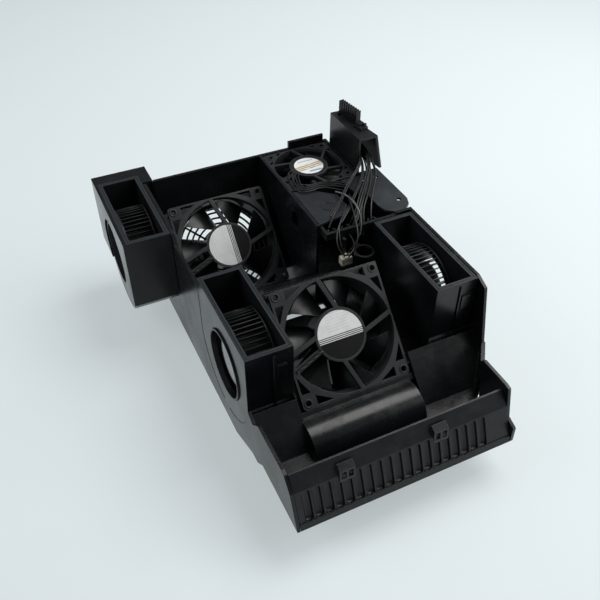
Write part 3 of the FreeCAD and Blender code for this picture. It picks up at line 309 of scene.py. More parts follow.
class Shader:
    """One material's node tree."""

    def __init__(self, name):
        self.material = bpy.data.materials.new(name)
        self.material.use_nodes = True
        self.tree = self.material.node_tree
        self.tree.nodes.clear()

    def node(self, kind, settings=None, sockets=None, output=0):
        """A node with its settings, then the values or links of its sockets."""
        made = self.tree.nodes.new(kind)
        for key, value in (settings or {}).items():
            setattr(made, key, value)
        for key, value in (sockets or {}).items():
            if isinstance(value, Value):
                self.tree.links.new(value.socket, made.inputs[key])
            else:
                made.inputs[key].default_value = value
        return Value(self, made.outputs[output]) if made.outputs else made

    def place(self):
        return self.node("ShaderNodeTexCoord", output="Object")

    def noise(self, place, scale, detail=2.0, roughness=0.5, distortion=0.0):
        return self.node("ShaderNodeTexNoise", None, {
            "Vector": place, "Scale": scale, "Detail": detail, "Roughness": roughness,
            "Distortion": distortion})

    def remap(self, value, low, high, to_low=0.0, to_high=1.0):
        return self.node("ShaderNodeMapRange", {"clamp": True}, {
            "Value": value, "From Min": low, "From Max": high, "To Min": to_low, "To Max": to_high})

    def blend(self, factor, first, second):
        """Colour between two colours, each a link or three numbers."""
        def opaque(colour):
            return colour if isinstance(colour, Value) else (*colour, 1.0)
        return self.node("ShaderNodeMix", {"data_type": "RGBA"},
                         {0: factor, 6: opaque(first), 7: opaque(second)}, output=2)

    def along(self, place, direction, origin=0.0):
        """Distance of a place along a direction, from an origin."""
        dot = self.node("ShaderNodeVectorMath", {"operation": "DOT_PRODUCT"},
                        {0: place, 1: tuple(direction)}, output="Value")
        return dot - origin

    def finish(self, **sockets):
        """Closes the tree with the principled surface."""
        named = {key.replace("_", " ").title().replace("Ior", "IOR"): value
                 for key, value in sockets.items()}
        surface = self.node("ShaderNodeBsdfPrincipled", None, named)
        self.node("ShaderNodeOutputMaterial", None, {"Surface": surface})
        return self.material


def scaled(colour, factor, lift=0.0):
    """Three numbers of a colour times a factor, plus a lift."""
    return tuple(part * factor + lift for part in colour)


def rounded_normal(shader, radius):
    """Normal of the surface with its sharp edges rounded, and how strongly each place is an edge."""
    rounded = shader.node("ShaderNodeBevel", {"samples": 4}, {"Radius": radius})
    flat = shader.node("ShaderNodeNewGeometry", output="Normal")
    likeness = shader.node("ShaderNodeVectorMath", {"operation": "DOT_PRODUCT"},
                           {0: rounded, 1: flat}, output="Value")
    return rounded, shader.remap(likeness, 0.995, 0.86)


def moulded(name, colour, roughness, grain=1500.0, grain_depth=0.00003, edge_radius=0.0005,
            dust=0.5, streaks=0.0, wear=0.6, gloss=0.36, rim=None):
    """Moulded plastic: tool grain, cloudy gloss, worn pale edges, a little dust on what faces up.

    What faces up above the height rim is paler, a painted highlight on the rim tops; streaks adds long
    scratches across X."""
    shader = Shader(name)
    place = shader.place()
    rounded, edge = rounded_normal(shader, edge_radius)
    cloud = shader.noise(place, 26.0, 4.0, 0.6)
    smear = shader.noise(place, 95.0, 5.0, 0.65, 0.6)
    fine = shader.noise(place, grain, 2.0, 0.6)
    fleck = shader.noise(place, 900.0, 1.0, 0.4)
    up = shader.along(shader.node("ShaderNodeNewGeometry", output="Normal"), (0.0, 0.0, 1.0))
    settled = shader.remap(up, 0.25, 0.95) * shader.remap(smear, 0.48, 0.72) * dust
    specks = shader.remap(fleck, 0.735, 0.77) * shader.remap(up, 0.0, 0.6) * dust
    worn = edge * shader.remap(smear, 0.3, 0.62) * wear
    tint = shader.blend(shader.remap(cloud, 0.35, 0.7), colour, scaled(colour, 1.5))
    tint = shader.blend(worn * 0.7, tint, scaled(colour, 2.2, 0.05))
    tint = shader.blend(settled * 0.06 + specks * 0.4, tint, scaled(colour, 1.0, 0.10))
    if rim is not None:
        # Painted highlight: faces that look up above the rim height are made paler
        lit_rim_tops = (shader.along(place, (0.0, 0.0, 1.0)) > rim) * shader.remap(up, 0.5, 0.9)
        tint = shader.blend(lit_rim_tops, tint, (0.024, 0.029, 0.032))
    rough = shader.remap(cloud, 0.3, 0.7, roughness - 0.05, roughness + 0.07)
    rough = rough + settled * 0.25 + worn * 0.08
    height = fine + smear * 0.15
    if streaks:
        stretched = shader.node("ShaderNodeMapping", None, {"Vector": place, "Scale": (1.0, 14.0, 14.0)})
        scratch = shader.remap(shader.noise(stretched, 60.0, 3.0, 0.7), 0.62, 0.7)
        rough = rough + scratch * streaks
        height = height - scratch * 0.2
    bump = shader.node("ShaderNodeBump", None, {
        "Strength": 0.35, "Distance": grain_depth, "Height": height, "Normal": rounded})
    return shader.finish(base_color=tint, roughness=rough, normal=bump, specular_ior_level=gloss)


def plug_finish(ivory, black):
    """Ivory body of the plug, with its stem as dark as the leads."""
    shader = Shader("plug_ivory")
    place = shader.place()
    rounded, _ = rounded_normal(shader, 0.0003)
    smear = shader.noise(place, 140.0, 4.0, 0.6)
    stem = shader.along(place, (0.0, 1.0, 0.0)) > 0.0083
    body = shader.blend(shader.remap(smear, 0.35, 0.7), ivory, scaled(ivory, 0.8))
    tint = shader.blend(stem, body, black)
    fine = shader.noise(place, 1800.0, 2.0, 0.6)
    bump = shader.node("ShaderNodeBump", None, {
        "Strength": 0.3, "Distance": 0.00003, "Height": fine, "Normal": rounded})
    return shader.finish(base_color=tint, roughness=shader.remap(smear, 0.3, 0.7, 0.36, 0.48),
                         normal=bump)


def satin_metal(name, colour, roughness):
    """Turned steel with a fine grain."""
    shader = Shader(name)
    place = shader.place()
    grain = shader.noise(place, 2600.0, 3.0, 0.6)
    cloud = shader.noise(place, 300.0, 3.0, 0.5)
    tint = shader.blend(shader.remap(cloud, 0.35, 0.65), colour, scaled(colour, 0.75))
    rough = shader.remap(cloud, 0.3, 0.7, roughness, roughness + 0.12)
    bump = shader.node("ShaderNodeBump", None, {"Strength": 0.2, "Distance": 0.00002, "Height": grain})
    return shader.finish(base_color=tint, roughness=rough, metallic=1.0, normal=bump)


def insulation(name, colour, roughness=0.38):
    """Soft insulation of a lead, with faint smears."""
    shader = Shader(name)
    place = shader.place()
    smear = shader.noise(place, 220.0, 3.0, 0.6)
    fine = shader.noise(place, 2400.0, 2.0, 0.5)
    tint = shader.blend(shader.remap(smear, 0.35, 0.7), colour, scaled(colour, 1.7, 0.002))
    rough = shader.remap(smear, 0.3, 0.7, roughness - 0.08, roughness + 0.1)
    bump = shader.node("ShaderNodeBump", None, {"Strength": 0.25, "Distance": 0.00003, "Height": fine})
    return shader.finish(base_color=tint, roughness=rough, normal=bump)


def label(name, centre, across, up, white, ink, split, stripes, ink_side=1.0):
    """Blank label: white field with faint rows, fine rules and a dark segment beyond them.

    across and up are the axes on the label, and split is where the dark segment starts along
    across. The stripes are the distances of the rules from there."""
    shader = Shader(name)
    place = shader.place()
    u = shader.along(place, across, centre.dot(across))
    v = shader.along(place, up, centre.dot(up))
    signed = u * ink_side
    dark = signed > split
    rules = None
    for offset in stripes:
        rule = abs(signed - (split - offset)) < 0.00035
        rules = rule if rules is None else rules + rule
    grain = shader.noise(place, 700.0, 3.0, 0.6)
    smear = shader.noise(place, 90.0, 4.0, 0.6, 0.4)
    rows = shader.node("ShaderNodeMath", {"operation": "PINGPONG"}, {0: signed, 1: 0.0011})
    faint = (rows < 0.00022) * (signed < split - 0.0062) * (abs(v) < 0.0095) * 0.16
    paper = shader.blend(shader.remap(smear, 0.4, 0.75), white, scaled(white, 0.86))
    paper = shader.blend(faint, paper, ink)
    tint = shader.blend(dark + rules, paper, ink)
    bump = shader.node("ShaderNodeBump", None, {"Strength": 0.15, "Distance": 0.00003, "Height": grain})
    return shader.finish(base_color=tint, roughness=shader.remap(smear, 0.3, 0.7, 0.32, 0.46),
                         normal=bump, specular_ior_level=0.22)


def small_label(name, centre, white, gold, blue):
    """Round label of the small fan: white with a soft gold band, a blue rule and a grey one."""
    shader = Shader(name)
    place = shader.place()
    u = shader.along(place, (1.0, 0.0, 0.0), centre.x)
    v = shader.along(place, (0.0, 1.0, 0.0), centre.y)
    smear = shader.noise(place, 120.0, 4.0, 0.6, 0.5)
    fine = shader.noise(place, 700.0, 3.0, 0.6)
    band = abs(v + 0.0008 - u * 0.12) < 0.0042
    lines = shader.node("ShaderNodeMath", {"operation": "PINGPONG"}, {0: v - u * 0.12, 1: 0.0014})
    gilt = band * shader.remap(lines, 0.00045, 0.0006) * shader.remap(smear, 0.30, 0.5)
    rule = (abs(v + 0.0092) < 0.0011) * (abs(u - 0.003) < 0.0062) * 0.75
    top = (abs(v - 0.0085) < 0.0008) * (abs(u) < 0.0075) * 0.5
    tint = shader.blend(gilt, white, gold)
    tint = shader.blend(rule, tint, blue)
    tint = shader.blend(top, tint, (0.15, 0.16, 0.17))
    tint = shader.blend((u * u + v * v) > SMALL_LABEL_RADIUS ** 2, tint, (0.008, 0.008, 0.009))
    bump = shader.node("ShaderNodeBump", None, {"Strength": 0.15, "Distance": 0.00003, "Height": fine})
    return shader.finish(base_color=tint, roughness=shader.remap(smear, 0.3, 0.7, 0.28, 0.42),
                         normal=bump)


def wound(name):
    """Stator: stacked dark iron with lacquered copper in the slots."""
    shader = Shader(name)
    place = shader.place()
    layers = shader.noise(place, 1800.0, 2.0, 0.5)
    patch = shader.noise(place, 160.0, 2.0, 0.5)
    tint = shader.blend(shader.remap(patch, 0.5, 0.56), (0.05, 0.05, 0.055), (0.35, 0.13, 0.05))
    bump = shader.node("ShaderNodeBump", None, {"Strength": 0.4, "Distance": 0.0001, "Height": layers})
    return shader.finish(base_color=tint, roughness=shader.remap(layers, 0.3, 0.7, 0.35, 0.5),
                         metallic=0.6, normal=bump)


# Modelling

def deselect():
    bpy.ops.object.select_all(action="DESELECT")


def only(piece):
    """Selects one piece and makes it the active one."""
    deselect()
    piece.select_set(True)
    bpy.context.view_layer.objects.active = piece


def paint(piece, material):
    """Gives a piece one material."""
    piece.data.materials.clear()
    piece.data.materials.append(material)


def pick(piece, test):
    """Selects faces of a piece in edit mode by a test on their normal."""
    bpy.ops.mesh.select_mode(type="FACE")
    bpy.ops.mesh.select_all(action="DESELECT")
    bpy.ops.object.mode_set(mode="OBJECT")
    for face in piece.data.polygons:
        face.select = test(face.normal)
    bpy.ops.object.mode_set(mode="EDIT")


def begin(name):
    """Names the primitive just added, applies its place, turn and size, and opens it for editing."""
    piece = bpy.context.active_object
    piece.name = name
    piece.data.name = name
    bpy.ops.object.transform_apply(location=True, rotation=True, scale=True)
    bpy.ops.object.mode_set(mode="EDIT")
    return piece


def end(piece, bevel=0.0, segments=2):
    """Leaves edit mode, rounds the edges and shades the piece."""
    bpy.ops.object.mode_set(mode="OBJECT")
    if bevel:
        rounding = piece.modifiers.new("edges", "BEVEL")
        rounding.width = bevel
        rounding.segments = segments
        rounding.limit_method = "ANGLE"
        bpy.ops.object.modifier_apply(modifier=rounding.name)
    bpy.ops.object.shade_smooth_by_angle(angle=math.radians(40.0))


def copies(piece, places):
    """Joins copies of a piece, one at each matrix, into that piece."""
    rest = []
    for matrix in places[1:]:
        twin = piece.copy()
        twin.data = piece.data.copy()
        twin.data.transform(matrix)
        bpy.context.scene.collection.objects.link(twin)
        rest.append(twin)
    piece.data.transform(places[0])
    bpy.context.view_layer.update()
    only(piece)
    for twin in rest:
        twin.select_set(True)
    bpy.ops.object.join()


def carried(piece, body, slot, *replaced):
    """Rides a piece on its body and hides the nodes that it stands for; slot is not used."""
    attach(piece, body)
    if replaced:
        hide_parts(*replaced)


def frame_of(centre, tilted):
    """Matrix from a fan's own axes to the object's."""
    if not tilted:
        return Matrix.Translation(centre)
    return Matrix.Translation(centre) @ Matrix.Rotation(TILT, 4, "X")


def lead_curve(name, routes, diameter, material):
    """One piece of round leads, each smooth along its own route in metres."""
    data = bpy.data.curves.new(name, "CURVE")
    data.dimensions = "3D"
    data.bevel_depth = diameter / 2
    data.bevel_resolution = 3
    data.resolution_u = 8
    data.use_fill_caps = True
    for route in routes:
        spline = data.splines.new("NURBS")
        spline.points.add(len(route) - 1)
        for point, place in zip(spline.points, route):
            point.co = (*place, 1.0)
        spline.order_u = 3
        spline.use_endpoint_u = True
    piece = bpy.data.objects.new(name, data)
    bpy.context.scene.collection.objects.link(piece)
    data.materials.append(material)
    return piece


def metres(routes):
    """Routes in millimetres as vectors in metres."""
    return [[Vector(point) * MM for point in route] for route in routes]


# Operators

class FANSET_OT_stage(bpy.types.Operator):
    """Pale floor with a low round wall, soft lamps, plain world and the camera"""
    bl_idname = "fanset.stage"
    bl_label = "Stage"

    def execute(self, context):
        look = context.scene.fanset_stage
        self.ground(look)
        self.light(context, look)
        self.camera(context, look)
        context.scene.view_settings.view_transform = "Standard"
        return {"FINISHED"}

    def ground(self, look):
        """Floor and wall, which camera, glossy and transmission rays see in their own colour; that
        colour holds painted light, paler towards the right, and a painted shadow under the object.
        """
        deselect()
        bpy.ops.mesh.primitive_plane_add(size=2 * BACKDROP_RADIUS, location=(0.0, 0.0, -FLOOR_DROP))
        floor = begin("floor")
        bpy.ops.mesh.subdivide(number_cuts=4)
        end(floor)
        bpy.ops.mesh.primitive_cylinder_add(
            vertices=128, radius=BACKDROP_RADIUS, depth=BACKDROP_HEIGHT, end_fill_type="NOTHING",
            location=(0.0, 0.0, BACKDROP_HEIGHT / 2 - FLOOR_DROP))
        backdrop = begin("backdrop")
        end(backdrop)
        shader = Shader("floor_paper")
        place = shader.place()
        fibre = shader.noise(place, 900.0, 3.0, 0.6)
        # Painted light: floor colour and glow grow paler towards +X and a little +Y, a painted pool of
        # light from the right
        painted_light_sweep = shader.along(place, (0.8, 0.25, 0.0))
        cloud = shader.noise(place, 1.2, 2.0, 0.5)
        reach = shader.remap(painted_light_sweep + cloud * 0.1, -0.55, 0.65)
        tint = shader.blend(reach, scaled(look.floor, 0.46), scaled(look.floor, 0.56))
        paths = shader.node("ShaderNodeLightPath", output="Is Camera Ray")
        for ray in ("Is Glossy Ray", "Is Transmission Ray"):
            paths = paths + shader.node("ShaderNodeLightPath", output=ray)
        # Painted shadow: under the object the floor's glow is left out, so that the floor seen through
        # its openings is dark
        painted_shadow_beneath = abs(shader.along(place, (1.0, 0.0, 0.0))) < 0.085
        painted_shadow_beneath = painted_shadow_beneath * (abs(shader.along(place, (0.0, 1.0, 0.0), -0.005)) < 0.05)
        glow = shader.blend(paths * (1.0 - painted_shadow_beneath), (0.0, 0.0, 0.0), tint)
        bump = shader.node("ShaderNodeBump", None, {
            "Strength": 0.05, "Distance": 0.0001, "Height": fibre})
        paper = shader.finish(base_color=tint, roughness=0.75, normal=bump,
                              emission_color=glow, emission_strength=1.0)
        for piece in (floor, backdrop):
            paint(piece, paper)

    def light(self, context, look):
        """Plain pale world and three soft lamps aimed at the object."""
        world = bpy.data.worlds.new("studio")
        world.use_nodes = True
        context.scene.world = world
        sky = world.node_tree.nodes["Background"]
        sky.inputs["Color"].default_value = (0.92, 0.97, 1.0, 1.0)
        sky.inputs["Strength"].default_value = look.sky
        lamps = (
            ("key", (0.62, 0.12, 1.30), 0.9, look.key_power, (1.0, 0.99, 0.97)),
            ("front", (1.05, -0.60, 0.85), 0.7, look.key_power * 0.45, (1.0, 0.99, 0.98)),
            ("left", (-1.05, 0.40, 0.85), 0.8, look.key_power * 0.34, (0.95, 0.99, 1.0)),
        )
        for name, lamp_place, size, power, colour in lamps:
            data = bpy.data.lights.new(name, "AREA")
            data.size = size
            data.energy = power
            data.color = colour
            lamp = bpy.data.objects.new(name, data)
            lamp.location = lamp_place
            lamp.rotation_mode = "QUATERNION"
            aim = Vector((0.0, 0.0, 0.05)) - Vector(lamp_place)
            lamp.rotation_quaternion = aim.to_track_quat("-Z", "Y")
            context.scene.collection.objects.link(lamp)

    def camera(self, context, look):
        """Camera at the place and angles of its settings."""
        data = bpy.data.cameras.new("photo")
        data.lens = look.lens
        data.sensor_width = 36.0
        data.clip_start = 0.01
        data.clip_end = 50.0
        camera = bpy.data.objects.new("photo", data)
        context.scene.collection.objects.link(camera)
        turn, dip = look.camera_turn, look.camera_dip
        ahead = Vector((math.sin(turn) * math.cos(dip), math.cos(turn) * math.cos(dip), -math.sin(dip)))
        camera.rotation_mode = "QUATERNION"
        level = ahead.to_track_quat("-Z", "Y").to_matrix()
        camera.rotation_quaternion = (level @ Matrix.Rotation(look.camera_roll, 3, "Z")).to_quaternion()
        camera.location = look.camera_place
        context.scene.camera = camera


class FANSET_OT_chassis_finish(bpy.types.Operator):
    """Finishes of the chassis, pockets, lip and small parts"""
    bl_idname = "fanset.chassis_finish"
    bl_label = "Chassis finish"

    def execute(self, context):
        look = context.scene.fanset_plastic
        colour = tuple(look.colour)
        shell = moulded("chassis_black", colour, look.roughness, look.grain,
                        edge_radius=look.edge_radius, streaks=0.12)
        pocket = moulded("pocket_black", colour, look.roughness - 0.02, look.grain,
                         edge_radius=look.edge_radius, dust=0.35, rim=RIM_HEIGHT)
        lip = moulded("lip_black", scaled(colour, 1.2), look.roughness + 0.06, 900.0,
                      grain_depth=0.00006, edge_radius=0.0006, dust=0.9, streaks=0.1)
        small = moulded("small_black", colour, look.roughness + 0.04, 1800.0, edge_radius=0.0003,
                        dust=0.4)
        plate = moulded("plate_black", scaled(colour, 3.2), look.roughness - 0.04, 700.0,
                        grain_depth=0.00005, edge_radius=0.0004, dust=0.5)
        flange = moulded("flange_grey", tuple(look.flange_colour), 0.36, 2400.0, edge_radius=0.0005,
                         dust=0.5)
        guard = moulded("guard_black", colour, look.roughness + 0.1, 1500.0, edge_radius=0.0004,
                        dust=0.3)
        finishes = {
            shell: ("base_shell", "fan_tray"),
            pocket: ("casing_a", "casing_b", "casing_c"),
            lip: ("front_lip",),
            small: ("connector_tower", "blind_connector", "tower_latch", "clip_rail", "cable_ring"),
            plate: ("cover_plate", "small_plate"),
            flange: ("flange_plate",),
            guard: ("finger_guard",),
        }
        for material, names in finishes.items():
            for name in names:
                paint(NODES[name], material)
        return {"FINISHED"}


class FANSET_OT_fan_finish(bpy.types.Operator):
    """Finishes of the axial fans and their labels"""
    bl_idname = "fanset.fan_finish"
    bl_label = "Fan finish"

    def execute(self, context):
        look = context.scene.fanset_fans
        colour = tuple(look.colour)
        body = moulded("fan_frame_black", scaled(colour, 1.9), 0.34, 2000.0, edge_radius=0.00045,
                       dust=0.5, gloss=0.5)
        rotor = moulded("fan_rotor_black", scaled(colour, 0.6), 0.3, 2600.0,
                        grain_depth=0.00002, edge_radius=0.0003, dust=0.6, gloss=0.3)
        finishes = {
            "frame": body, "rotor": rotor, "stator": wound("stator_iron"),
            "shaft": satin_metal("spindle_steel", (0.55, 0.56, 0.57), 0.25)}
        for index in (1, 2, 3):
            for part, material in finishes.items():
                paint(NODES[f"fan_{index}_{part}"], material)
        white = tuple(look.label)
        ink = (0.005, 0.005, 0.006)
        blue = (0.05, 0.16, 0.42)
        rules = (0.0010, 0.0024, 0.0038)
        paint(NODES["fan_1_label"],
              label("fan_1_label", FAN_1, RIGHT, UP_TILTED, white, ink, 0.0068, rules))
        paint(NODES["fan_2_label"],
              label("fan_2_label", FAN_2, UP_TILTED, RIGHT, white, ink, 0.0034, rules, -1.0))
        paint(NODES["fan_3_label"], small_label("fan_3_label", FAN_3, white, tuple(look.band), blue))
        return {"FINISHED"}


class FANSET_OT_blower_finish(bpy.types.Operator):
    """Finishes of the radial blowers"""
    bl_idname = "fanset.blower_finish"
    bl_label = "Blower finish"

    def execute(self, context):
        look = context.scene.fanset_fans
        colour = tuple(look.colour)
        shell = moulded("blower_black", scaled(colour, 1.1), 0.33, 1600.0, edge_radius=0.0005,
                        dust=0.4, rim=RIM_HEIGHT)
        wheel = moulded("wheel_black", scaled(colour, 1.5), 0.34, 2600.0, grain_depth=0.00002,
                        edge_radius=0.0002, dust=0.8, wear=1.0)
        plate = moulded("hub_plate_pale", (0.72, 0.74, 0.75), 0.36, 900.0, dust=0.0, wear=0.0,
                        gloss=0.5)
        finishes = {
            "housing": shell, "impeller": wheel, "hub_plate": plate,
            "shaft": satin_metal("blower_steel", (0.55, 0.56, 0.57), 0.25)}
        for name in "abc":
            for part, material in finishes.items():
                paint(NODES[f"blower_{name}_{part}"], material)
        return {"FINISHED"}


class FANSET_OT_leads(bpy.types.Operator):
    """The loose bundle from the tower to the clips, the leads of the small fan and of the plug"""
    bl_idname = "fanset.leads"
    bl_label = "Leads"

    def execute(self, context):
        look = context.scene.fanset_leads
        black = insulation("lead_black", tuple(look.colour))
        paint(NODES["wire_harness"], black)
        paint(NODES["lead_plug"], plug_finish(tuple(look.plug), tuple(look.colour)))
        # Strands that leave the six routes of the bundle bit by bit, each towards its own side
        strands = []
        for index, route in enumerate(HARNESS):
            turn = 2.4 * index
            shift = Vector((math.cos(turn), math.sin(turn), 0.35)) * 2.1
            strands.append([Vector(point) + shift * min(1.0, 0.25 * place)
                            for place, point in enumerate(route[1:-1])])
        pieces = (
            ("lead_bundle", HARNESS, 1.0, black, ("wire_harness",)),
            ("lead_strands", strands, 0.9, black, ()),
            ("small_fan_leads", SMALL_FAN_LEADS, 0.8, black, ()),
            ("plug_leads", PLUG_LEADS, 0.8, black, ()),
            ("grey_lead", GREY_LEAD, 1.0, insulation("lead_grey", tuple(look.pale)), ()),
        )
        for name, routes, part, material, replaced in pieces:
            piece = lead_curve(name, metres(routes), look.diameter * part, material)
            carried(piece, "chassis", "lead_insulation", *replaced)
        return {"FINISHED"}


class FANSET_OT_lip(bpy.types.Operator):
    """Ribbed lip: the moulding with its row of wide, round-ended slots cut anew"""
    bl_idname = "fanset.lip"
    bl_label = "Ribbed lip"

    def execute(self, context):
        size = context.scene.fanset_lip
        ledge = Vector((0.0, *LIP_LEDGE)) * MM
        foot = Vector((0.0, *LIP_FOOT)) * MM
        down = (foot - ledge).normalized()
        out = Vector((0.0, down.z, -down.y))
        slope = Matrix.Translation(ledge) @ Matrix((RIGHT, -down, out)).transposed().to_4x4()
        lip = NODES["front_lip"].copy()
        lip.data = NODES["front_lip"].data.copy()
        context.scene.collection.objects.link(lip)
        lip.name = "ribbed_lip"
        lip.data.name = "ribbed_lip"
        lip.modifiers.clear()
        only(lip)
        bpy.ops.object.mode_set(mode="EDIT")
        bpy.ops.mesh.select_all(action="SELECT")
        bpy.ops.mesh.remove_doubles(threshold=0.000002)
        bpy.ops.object.mode_set(mode="OBJECT")
        # The slots of the moulding are filled first, then the new row is cut
        margin = 0.0004
        first = size.first - size.pitch / 2 - margin
        last = size.first + (size.count - 0.5) * size.pitch + margin
        fill = self.block("slot_fill", (last - first, size.length, 0.0025),
                          ((first + last) / 2, -size.length / 2 - 0.0003, -0.00123), 0.0)
        fill.data.transform(slope)
        self.combine(lip, fill, "UNION")
        slot = self.block("slot", (size.width, size.length - 0.0008, 0.0056),
                          (0.0, -size.length / 2 - 0.0003, 0.0028 - size.depth), 0.0021)
        bpy.ops.object.mode_set(mode="EDIT")
        bpy.ops.mesh.select_all(action="SELECT")
        bpy.ops.mesh.bisect(plane_co=(0.0, 0.0, 0.0003), plane_no=(0.0, 0.0, 1.0), use_fill=True,
                            clear_outer=True)
        bpy.ops.object.mode_set(mode="OBJECT")
        copies(slot, [slope @ Matrix.Translation((size.first + index * size.pitch, 0.0, 0.0))
                      for index in range(size.count)])
        self.combine(lip, slot, "DIFFERENCE")
        only(lip)
        bpy.ops.mesh.customdata_custom_splitnormals_clear()
        bpy.ops.object.shade_smooth_by_angle(angle=math.radians(14.0))
        carried(lip, "chassis", "chassis_plastic", "front_lip")
        return {"FINISHED"}

    def block(self, name, size, place, rounding):
        """A block in the lip's own axes, with its lower edges rounded."""
        deselect()
        bpy.ops.mesh.primitive_cube_add(size=1.0, location=place, scale=size)
        piece = begin(name)
        end(piece, rounding, 4)
        return piece

    def combine(self, lip, tool, kind):
        """Adds a tool to the lip, or cuts it out, and removes the tool."""
        only(lip)
        step = lip.modifiers.new(kind.lower(), "BOOLEAN")
        step.operation = kind
        step.solver = "EXACT"
        step.object = tool
        bpy.ops.object.modifier_apply(modifier=step.name)
        bpy.data.objects.remove(tool, do_unlink=True)


class FANSET_OT_seam_strip(bpy.types.Operator):
    """Strip that closes the seam between the outboard pocket and the rear wall"""
    bl_idname = "fanset.seam_strip"
    bl_label = "Seam strip"

    def execute(self, context):
        deselect()
        bpy.ops.mesh.primitive_cube_add(size=1.0, location=SEAM_PLACE, scale=SEAM_SIZE)
        strip = begin("pocket_seam_strip")
        end(strip, 0.0003)
        paint(strip, NODES["fan_tray"].data.materials[0])
        carried(strip, "chassis", "chassis_plastic")
        return {"FINISHED"}


class FANSET_OT_strut_leads(bpy.types.Operator):
    """Twisted leads of the large fans, laid along the lead strut"""
    bl_idname = "fanset.strut_leads"
    bl_label = "Strut leads"

    def execute(self, context):
        look = context.scene.fanset_leads
        sleeve = insulation("strut_lead", tuple(look.colour))
        start, stride, twist, rise = 0.0195, 0.0022, 0.00065, 0.0008
        around = Matrix.Rotation(LEAD_STRUT_ANGLE, 4, "Z")
        for index, centre in ((1, FAN_1), (2, FAN_2)):
            turn = frame_of(centre, True) @ around
            strands = [[turn @ Vector((start + stride * step, twist * math.cos(phase + step * 1.1),
                                       rise + twist * math.sin(phase + step * 1.1)))
                        for step in range(13)] for phase in (0.0, math.pi)]
            piece = lead_curve(f"fan_{index}_leads", strands, look.diameter * 0.7, sleeve)
            carried(piece, "chassis", "lead_insulation")
        return {"FINISHED"}


class FANSET_OT_wheels(bpy.types.Operator):
    """Squirrel-cage wheels of the radial blowers: flat blades between a ring and a plate with the hub"""
    bl_idname = "fanset.wheels"
    bl_label = "Blower wheels"

    def execute(self, context):
        size = context.scene.fanset_wheels
        wheel = NODES["blower_a_impeller"].data.materials[0]
        plate = NODES["blower_a_hub_plate"].data.materials[0]
        for name, side in (("a", -1), ("b", -1), ("c", 1)):
            low, high = (Vector(corner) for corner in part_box(f"blower_{name}_impeller"))
            middle = (low + high) / 2
            back = high.x if side < 0 else low.x
            mirrored = Matrix.Diagonal((-side, 1, 1, 1))
            turn = Matrix.Translation((back, middle.y, middle.z)) @ mirrored
            cage = self.cage(f"blower_{name}_cage", size, wheel)
            cap = self.cap(f"blower_{name}_cap", size, plate)
            for piece in (cage, cap):
                piece.data.transform(turn)
                if side > 0:
                    self.outward(piece)
            carried(cage, f"blower_{name}_wheel", "blower_plastic", f"blower_{name}_impeller")
            carried(cap, f"blower_{name}_wheel", "plain_plate", f"blower_{name}_hub_plate")
        return {"FINISHED"}

    def outward(self, piece):
        """Turns the faces of a mirrored piece outwards."""
        only(piece)
        bpy.ops.object.mode_set(mode="EDIT")
        bpy.ops.mesh.select_all(action="SELECT")
        bpy.ops.mesh.normals_make_consistent(inside=False)
        bpy.ops.object.mode_set(mode="OBJECT")

    def disc(self, name, radius, start, depth, sides=96):
        """A round plate across the wheel's axis, opened for editing."""
        deselect()
        bpy.ops.mesh.primitive_cylinder_add(vertices=sides, radius=radius, depth=depth,
                                            location=(start + depth / 2, 0.0, 0.0),
                                            rotation=(0.0, math.radians(90.0), 0.0))
        return begin(name)

    def cage(self, name, size, material):
        """The wheel with its back plate at x = 0 and its open end towards lower x."""
        ring = self.disc(name + "_ring", size.radius, -size.height, WHEEL_PLATE)
        pick(ring, lambda normal: abs(normal.x) > 0.9)
        bpy.ops.mesh.inset(thickness=size.blade, depth=0.0)
        bpy.ops.mesh.bridge_edge_loops()
        end(ring, 0.0002)
        plate = self.disc(name + "_plate", size.radius, -WHEEL_PLATE, WHEEL_PLATE)
        pick(plate, lambda normal: normal.x < -0.9)
        bpy.ops.mesh.inset(thickness=size.radius - size.hub, depth=0.0)
        bpy.ops.mesh.extrude_region_move(TRANSFORM_OT_translate={"value": (-size.hub_height, 0.0, 0.0)})
        bpy.ops.mesh.inset(thickness=HUB_RIM, depth=0.0)
        bpy.ops.mesh.extrude_region_move(TRANSFORM_OT_translate={"value": (HUB_RECESS, 0.0, 0.0)})
        end(plate, 0.0004, 3)
        deselect()
        length = size.height - WHEEL_PLATE
        bpy.ops.mesh.primitive_cube_add(
            size=1.0, location=(-length / 2 - WHEEL_PLATE / 2, 0.0, size.radius - size.blade / 2),
            scale=(length, BLADE_THICKNESS, size.blade - 0.0004))
        blade = begin(name)
        end(blade, 0.00018, 1)
        lean = Matrix.Translation((0.0, 0.0, size.radius)) @ Matrix.Rotation(BLADE_LEAN, 4, "X")
        lean = lean @ Matrix.Translation((0.0, 0.0, -size.radius))
        blade.data.transform(lean)
        count = size.blades
        copies(blade, [Matrix.Rotation(2 * math.pi * index / count, 4, "X") for index in range(count)])
        deselect()
        for piece in (ring, plate, blade):
            piece.select_set(True)
        bpy.context.view_layer.objects.active = blade
        bpy.ops.object.join()
        paint(blade, material)
        return blade

    def cap(self, name, size, material):
        """Blank plate on the end of the hub, seen through the intake."""
        cap = self.disc(name, size.hub - CAP_GAP, -WHEEL_PLATE - size.hub_height + 0.0002,
                        CAP_THICKNESS, 64)
        end(cap, 0.00015)
        paint(cap, material)
        return cap


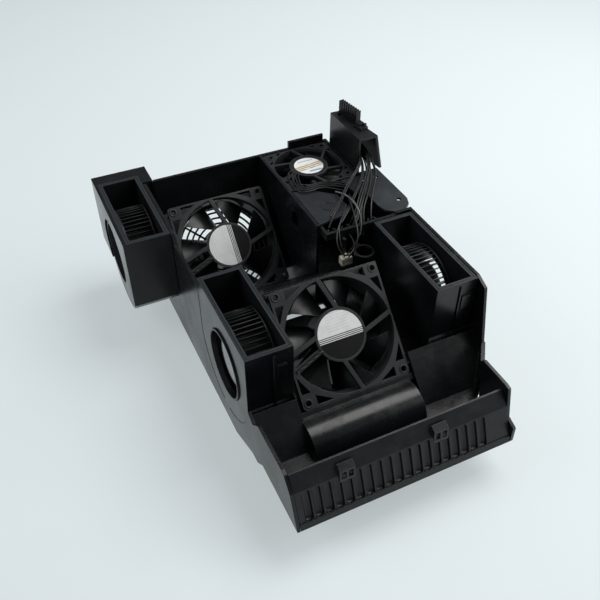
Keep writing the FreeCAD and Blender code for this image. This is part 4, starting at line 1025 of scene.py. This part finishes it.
class FANSET_OT_corner_bosses(bpy.types.Operator):
    """Raised rims round the screw holes of the three axial fans"""
    bl_idname = "fanset.corner_bosses"
    bl_label = "Corner bosses"

    def execute(self, context):
        look = context.scene.fanset_fans
        material = NODES["fan_1_frame"].data.materials[0]
        fans = ((1, FAN_1, LARGE_REACH, True), (2, FAN_2, LARGE_REACH, True),
                (3, FAN_3, SMALL_REACH, False))
        for index, centre, reach, tilted in fans:
            deselect()
            bpy.ops.mesh.primitive_cylinder_add(vertices=28, radius=BOSS_RADIUS, depth=look.boss_height,
                                                location=(0.0, 0.0, look.boss_height / 2))
            piece = begin(f"fan_{index}_corner_bosses")
            pick(piece, lambda normal: abs(normal.z) > 0.9)
            bpy.ops.mesh.inset(thickness=BOSS_WALL, depth=0.0)
            bpy.ops.mesh.bridge_edge_loops()
            end(piece, 0.00018)
            turn = frame_of(centre, tilted)
            copies(piece, [turn @ Matrix.Translation((sx * reach, sy * reach, 0.0))
                           for sx in (-1, 1) for sy in (-1, 1)])
            paint(piece, material)
            carried(piece, "chassis", "fan_plastic")
        return {"FINISHED"}


CLASSES = (
    PlasticSettings, FanSettings, WheelSettings, LipSettings, LeadSettings, StageSettings,
    FANSET_OT_stage, FANSET_OT_chassis_finish, FANSET_OT_fan_finish, FANSET_OT_blower_finish,
    FANSET_OT_wheels, FANSET_OT_lip, FANSET_OT_seam_strip, FANSET_OT_leads, FANSET_OT_strut_leads,
    FANSET_OT_corner_bosses,
)
OPERATORS = ("stage", "chassis_finish", "fan_finish", "blower_finish", "wheels", "lip", "seam_strip",
             "leads", "strut_leads", "corner_bosses")


class FANSET_PT_panel(bpy.types.Panel):
    """Sizes, colours and steps of the fan assembly"""
    bl_idname = "FANSET_PT_panel"
    bl_label = "Fan Assembly"
    bl_space_type = "VIEW_3D"
    bl_region_type = "UI"
    bl_category = "Fan Assembly"

    def draw(self, context):
        for group in GROUPS:
            settings = getattr(context.scene, "fanset_" + group)
            column = self.layout.box().column()
            column.label(text=group.title())
            for name in settings.bl_rna.properties.keys():
                if name not in ("rna_type", "name"):
                    column.prop(settings, name)
        for name in OPERATORS:
            self.layout.operator("fanset." + name)


GROUPS = {"plastic": PlasticSettings, "fans": FanSettings, "wheels": WheelSettings,
          "lip": LipSettings, "leads": LeadSettings, "stage": StageSettings}


def register():
    for item in (*CLASSES, FANSET_PT_panel):
        bpy.utils.register_class(item)
    for name, group in GROUPS.items():
        setattr(bpy.types.Scene, "fanset_" + name, bpy.props.PointerProperty(type=group))


def unregister():
    for name in GROUPS:
        delattr(bpy.types.Scene, "fanset_" + name)
    for item in reversed((*CLASSES, FANSET_PT_panel)):
        bpy.utils.unregister_class(item)


def main():
    register()
    for name in OPERATORS:
        getattr(bpy.ops.fanset, name)()
    bpy.context.view_layer.update()


if __name__ == "__main__":
    main()
